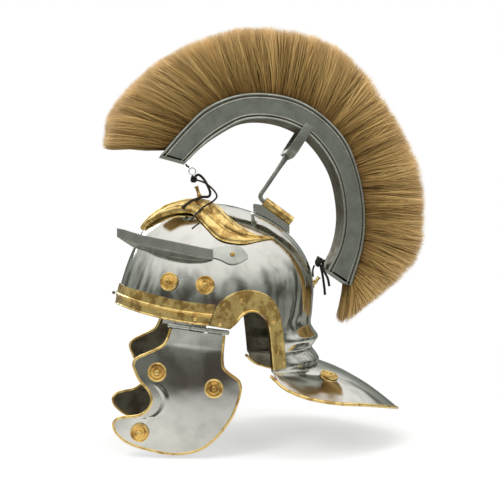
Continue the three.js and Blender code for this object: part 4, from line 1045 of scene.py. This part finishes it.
box = joined("crest_trough", [box, end_plate(0.0004, 0.006), end_plate(0.994, 0.9996)])
box_steel, spot, shader = finish("crest_box_steel", 0.85)
clouds = spot.noise(50, 5, 0.6)
grain = spot.noise(500, 3, 0.6)
connect(
    shader,
    Base_Color=clouds.between(0.3, 0.7).mixed((0.42, 0.445, 0.395), (0.29, 0.31, 0.27)),
    Roughness=0.3 + 0.14 * clouds + grain * 0.06,
    Normal=bumped(clouds * 0.3 + grain * 0.06, 0.5, 0.0012),
)
given(box, box_steel, grey_steel, inside_steel, brass)
middles = np.array([face.center for face in box.data.polygons]) / MM
shares = np.linspace(0, 1, 900)
inner_line = crest_point(shares, 0, 0)
outer_line = crest_point(shares, 0, 1)
# Faces on the beads take the lighter grey steel as a painted highlight, and faces in the grooves beside the
# outer beads take the dark dull steel as painted shade. The trough's underside takes the dull steel too.
for face, middle in zip(box.data.polygons, middles):
    to_inner, to_outer = [np.hypot(*(line[:, 1:] - middle[1:]).T) for line in (inner_line, outer_line)]
    k = np.argmin(to_inner + to_outer)
    depth = np.linalg.norm(outer_line[k, 1:] - inner_line[k, 1:])
    reach = np.linalg.norm(middle[1:] - inner_line[k, 1:]) / depth
    bead_painted_highlight = abs(middle[0]) > CREST_HALF + 0.05
    groove_painted_shade = 0.855 < reach < 0.905 or 0.095 < reach < 0.145
    under = reach < 0.03 and abs(middle[0]) < CREST_HALF - 0.2
    brass_strip = under and middle[0] < -9 and 0.78 < shares[k] < 0.91
    dull = under or (groove_painted_shade and abs(middle[0]) > CREST_HALF - 0.5)
    face.material_index = 3 if brass_strip else 1 if bead_painted_highlight else 2 if dull else 0
smoothed(box, 30)
fitted(box, None, ["crest_box"])


# Crest fork. A round steel stem bent into the tube on the crown, with a yoke forged on its top whose two flat
# tines clasp the box.
FORK_LEAN = math.radians(33)
fork_up = np.array([0, math.sin(FORK_LEAN), math.cos(FORK_LEAN)])
fork_along = np.array([0, fork_up[2], -fork_up[1]])
fork_base = np.array([0, 88.5, 59.5])
into_socket = np.array([0, math.cos(math.radians(-35.5)), math.sin(math.radians(-35.5))])
bend = np.array([0, 53.8, 9.3])
rise_end = fork_base + fork_up * 6
rise = (rise_end - bend) / np.linalg.norm(rise_end - bend)
foot = [bend + into_socket * d for d in (40, 12, 5)]
stem_line = smooth_line([*foot, bend + (into_socket + rise) * 1.6,
                         *[bend + rise * d for d in (5, 14, 34)], rise_end], 10)
stem_run = np.concatenate([[0], np.cumsum(np.linalg.norm(np.diff(stem_line, axis=0), axis=1))])


def stem_place(t, a, b):
    def at(d):
        return np.stack([np.interp(d, stem_run, stem_line[:, k]) for k in range(3)], axis=1)
    here = t * stem_run[-1]
    along = at(np.minimum(here + 0.8, stem_run[-1])) - at(np.maximum(here - 0.8, 0))
    along /= np.linalg.norm(along, axis=1, keepdims=True)
    wide = 1 + 0.35 * eased(t, 0.75, 1.0)
    return at(here) + columns(a, 0, 0) + np.cross(along, np.array([1.0, 0, 0])) * (b * wide)[:, None]


STEM_RADIUS = 2.75
stem_turns = np.linspace(0, 2 * math.pi, 20, endpoint=False)
stem_section = [(STEM_RADIUS * math.cos(k), STEM_RADIUS * math.sin(k)) for k in stem_turns]
stem = swept("stem", stem_section, 90, stem_place)
INSIDE = CREST_HALF + 1.7
OUTSIDE = INSIDE + 2.7
TINE_TOP = 43.5
YOKE = 6.8
FORK_WIDTH = 11.5
yoke_outline = [
    (-OUTSIDE, TINE_TOP), (-OUTSIDE, 8), (-OUTSIDE + 4, 2.5), (-OUTSIDE + 9, 0), (OUTSIDE - 9, 0),
    (OUTSIDE - 4, 2.5), (OUTSIDE, 8), (OUTSIDE, TINE_TOP), (INSIDE, TINE_TOP), (INSIDE, 10),
    (INSIDE - 4, YOKE), (-INSIDE + 4, YOKE), (-INSIDE, 10), (-INSIDE, TINE_TOP),
]


def yoke_place(t, a, b):
    return (columns(a, 0, 0) + fork_base + fork_up * b[:, None]
            + fork_along * ((t - 0.5) * FORK_WIDTH)[:, None])


yoke = swept("yoke", yoke_outline, 2, yoke_place)
apply(yoke, "BEVEL", width=0.7 * MM, segments=3, limit_method="ANGLE", angle_limit=SHARP)
fork = joined("crest_fork_steel", [stem, yoke])
smoothed(fork, 40)
fitted(fork, box_steel, ["crest_fork"])


# Crest hair. Horsehair in close tufts, golden brown, darker at the roots and paler at the tips. It stands
# square to the box, fans out flat at the front and falls at the back.
hair, strand_map, shader = finish("horsehair", 0.0, "UV")
along_hair = strand_map.node("ShaderNodeSeparateXYZ", {}, {"Vector": strand_map})
tone = strand_map.node("ShaderNodeSeparateXYZ", {}, {"Vector": strand_map}, output=1)
length_colour = along_hair.node("ShaderNodeValToRGB", {"stops": [
    (0.0, (0.16, 0.09, 0.025)),
    (0.16, (0.36, 0.225, 0.075)),
    (0.5, (0.57, 0.395, 0.15)),
    (0.82, (0.74, 0.53, 0.235)),
    (1.0, (0.86, 0.67, 0.39)),
]}, {"Fac": along_hair})
shaded = length_colour.node("ShaderNodeMix", {"data_type": "RGBA", "blend_type": "MULTIPLY"}, {
    0: 1.0, 6: length_colour, 7: tone.mixed((0.52, 0.46, 0.38), (1.25, 1.25, 1.25))}, output=2)
connect(shader, Base_Color=shaded)
shader.inputs["Roughness"].default_value = 0.55
shader.inputs["Specular IOR Level"].default_value = 0.35

HAIR_TIPS = {
    "step": list(range(12)),
    "y": [-136, -127, -85, -22, 45, 112, 172, 222, 256, 263, 246, 158],
    "z": [70, 113, 161, 199.5, 216.5, 210, 179, 112, 47, -20, -76, -147],
}
HAIR_SPREAD = 29.5
STRANDS = 27000


def hair_piece(name, count, widths, seed):
    """Many strands, each a narrow blade of four joints that ends in a point."""
    rng = np.random.default_rng(seed)
    share = np.clip(rng.uniform(-0.004, 1.004, count), 0, 1)
    across = rng.uniform(-1, 1, count)
    tuft = np.round(share * 66) / 66
    pull = 0.55 * rng.uniform(0.4, 1, count)
    root_share = np.clip(share, 0.028, 0.985)
    root = crest_point(root_share, across * (CREST_HALF - 2.2), 0.9)
    outward = crest_point(root_share, 0, 1) - crest_point(root_share, 0, 0)
    outward /= np.linalg.norm(outward, axis=1, keepdims=True)
    tip_share = share + (tuft - share) * pull + rng.normal(0, 0.006, count)
    tip_share = np.clip(tip_share + 0.012 * np.sin(share * 41 + 2.5 * across), 0, 1)
    step = 11 * tip_share
    tuft_wave = np.sin(tuft * 211.0) * 0.5 + np.sin(tuft * 97.0 + 1.3) * 0.5
    length = 1.0 - np.abs(rng.normal(0, 0.04, count)) + 0.012 * tuft_wave
    tip_across = across * 29 + tuft_wave * 1.5 + rng.normal(0, 1.4, count)
    tip = columns(tip_across, column(HAIR_TIPS, "step", step, "y"), column(HAIR_TIPS, "step", step, "z"))
    edge_drop = 1 - 0.055 * across**2
    tip[:, 1:] = root[:, 1:] + (tip[:, 1:] - root[:, 1:]) * (length * edge_drop)[:, None]
    tip[:, 0] = np.clip(tip[:, 0], -HAIR_SPREAD, HAIR_SPREAD)
    tip[:, 1] = np.clip(tip[:, 1], -134, 257.5)
    tip[:, 2] = np.minimum(tip[:, 2], 213.5)
    rises = np.array([0, 0.3, 0.62, 0.85, 1.0])
    bow = np.sin(np.pi * rises)
    wobble = rng.normal(0, 0.9, (count, 1, 3)) * np.array([0, 0.5, 1, 1, 0.6])[None, :, None]
    ahead, behind = [crest_point(np.clip(root_share + d, 0, 1), 0, 1) for d in (0.004, -0.004)]
    along_box = ahead - behind
    along_box /= np.linalg.norm(along_box, axis=1, keepdims=True)
    sway = 2.2 * np.sin(tuft * 173 + 2 * across)[:, None] * np.sin(1.7 * np.pi * rises)[None, :]
    full = np.linalg.norm(tip - root, axis=1)
    line = root[:, None, :] + (tip - root)[:, None, :] * rises[None, :, None]
    line = line + outward[:, None, :] * (bow[None, :, None] * full[:, None, None] * 0.05)
    line[:, :, 0] += bow[None, :] * across[:, None] * 1.5
    line = line + wobble + sway[:, :, None] * along_box[:, None, :]
    spin = rng.uniform(0, 2 * math.pi, count)
    direction = (tip - root) / full[:, None]
    sideways = np.cross(direction, np.array([1.0, 0, 0]))
    sideways /= np.linalg.norm(sideways, axis=1, keepdims=True)
    other = np.cross(direction, sideways)
    flat = np.cos(spin)[:, None] * sideways + np.sin(spin)[:, None] * other
    width = np.array([1, 1, 0.9, 0.6])[None, :, None] * rng.uniform(*widths, count)[:, None, None] / 2
    left = line[:, :4] + flat[:, None, :] * width
    right = line[:, :4] - flat[:, None, :] * width
    points = np.concatenate([left, right, line[:, 4:]], axis=1)
    base = (np.arange(count) * 9)[:, None]
    quads = np.concatenate([base + np.array([k, k + 1, k + 5, k + 4]) for k in range(3)], axis=1)
    ends = base + np.array([3, 8, 7])
    mesh = bpy.data.meshes.new(name)
    mesh.vertices.add(count * 9)
    mesh.vertices.foreach_set("co", (points.reshape(-1, 3) * MM).astype(np.float32).ravel())
    loops = np.concatenate([quads, ends], axis=1).ravel()
    mesh.loops.add(len(loops))
    mesh.loops.foreach_set("vertex_index", loops.astype(np.int32))
    sizes = np.tile([4, 4, 4, 3], count)
    mesh.polygons.add(len(sizes))
    mesh.polygons.foreach_set("loop_start", np.concatenate([[0], np.cumsum(sizes)[:-1]]).astype(np.int32))
    mesh.polygons.foreach_set("loop_total", sizes.astype(np.int32))
    mesh.update(calc_edges=True)
    uv = mesh.uv_layers.new(name="strands")
    heights = np.array([0, 0.3, 0.62, 0.85, 0, 0.3, 0.62, 0.85, 1.0])
    clump = 0.5 + 0.28 * tuft_wave + rng.normal(0, 0.17, count)
    u = np.tile(heights, count)[loops]
    v = np.repeat(np.clip(clump, 0, 1), 9)[loops]
    uv.data.foreach_set("uv", np.stack([u, v], axis=1).astype(np.float32).ravel())
    mesh.polygons.foreach_set("use_smooth", np.ones(len(sizes), bool))
    piece = bpy.data.objects.new(name, mesh)
    scene.collection.objects.link(piece)
    return piece


for k in range(3):
    tufts = hair_piece(f"horsehair_{k + 1}", STRANDS, (0.42, 0.75), 11 + k)
    fitted(tufts, hair, ["crest_hair"])


# Floor and light. A pale floor fades into a white ground under large soft lamps. What the polished metal
# mirrors is a surround that is dim near the level, with dark upright streaks and one dark patch on the left.
bpy.ops.object.select_all(action="DESELECT")
bpy.ops.mesh.primitive_circle_add(vertices=96, radius=1.3, location=(0, 0.03, -0.2845), fill_type="NGON")
floor = bpy.context.object
floor.name = "studio_floor"
edit(floor, lambda: bpy.ops.mesh.inset(thickness=0.1))
bpy.ops.object.transform_apply(location=True)
paper, spot, shader = finish("white_paper", 0.0)
shader.inputs["Base Color"].default_value = (0.9, 0.9, 0.9, 1)
shader.inputs["Roughness"].default_value = 0.9
distance = spot.node("ShaderNodeVectorMath", {"operation": "LENGTH"}, {0: spot}, output=1)
connect(shader, Alpha=0.5 - 0.5 * distance.between(0.2, 0.8))
floor.data.materials.append(paper)


def lamp(name, place, size, power, mirrored, aim=(0, 0.03, -0.05)):
    turn = (Vector(aim) - Vector(place)).to_track_quat("-Z", "Y").to_euler()
    bpy.ops.object.light_add(type="AREA", location=place, rotation=turn)
    new = bpy.context.object
    new.name = name
    new.data.shape = "RECTANGLE"
    new.data.size, new.data.size_y = size
    new.data.energy = power
    new.visible_glossy = mirrored


lamp("key_softbox", (1.0, -0.9, 1.1), (0.5, 0.8), 16, False)
lamp("fill_softbox", (1.3, 1.1, 0.5), (0.3, 0.9), 10, False)
lamp("top_softbox", (0.1, 0.1, 1.5), (1.0, 1.0), 12, False)
lamp("far_softbox", (-1.4, -0.6, 0.7), (0.8, 0.8), 6, True)

world = bpy.data.worlds.new("studio")
scene.world = world
world.use_nodes = True
tree = world.node_tree
sky = tree.nodes["Background"]
rays = Wire(tree, tree.nodes.new("ShaderNodeLightPath").outputs["Is Camera Ray"])
direction = Wire(tree, tree.nodes.new("ShaderNodeTexCoord").outputs["Generated"])
height = direction.node("ShaderNodeSeparateXYZ", {}, {"Vector": direction}, output=2)
surround = height.node("ShaderNodeValToRGB", {"stops": [
    (0.0, (0.50, 0.49, 0.45)),
    (0.28, (0.42, 0.42, 0.38)),
    (0.42, (0.26, 0.27, 0.24)),
    (0.52, (0.15, 0.16, 0.14)),
    (0.61, (0.30, 0.32, 0.29)),
    (0.73, (0.80, 0.80, 0.77)),
    (1.0, (1.05, 1.02, 1.02)),
]}, {"Fac": height * 0.5 + 0.5})
streaks = direction.stretched(7, 7, 1.3).noise(1.0, 4, 0.6).between(0.51, 0.555)
near_level = 1 - height.maths("ABSOLUTE", height).between(0.2, 0.62)
surround = (streaks * near_level * 0.9).mixed(surround, (0.045, 0.042, 0.035))
patch = direction.node("ShaderNodeVectorMath", {"operation": "DOT_PRODUCT"}, {
    0: direction, 1: (0.97, -0.04, -0.24)}, output=1)
surround = (patch.between(0.88, 0.985) * 0.75).mixed(surround, (0.06, 0.045, 0.038))
tree.links.new(rays.mixed(surround, (1.0, 1.0, 1.0)).socket, sky.inputs["Color"])
sky.inputs["Strength"].default_value = 1.0
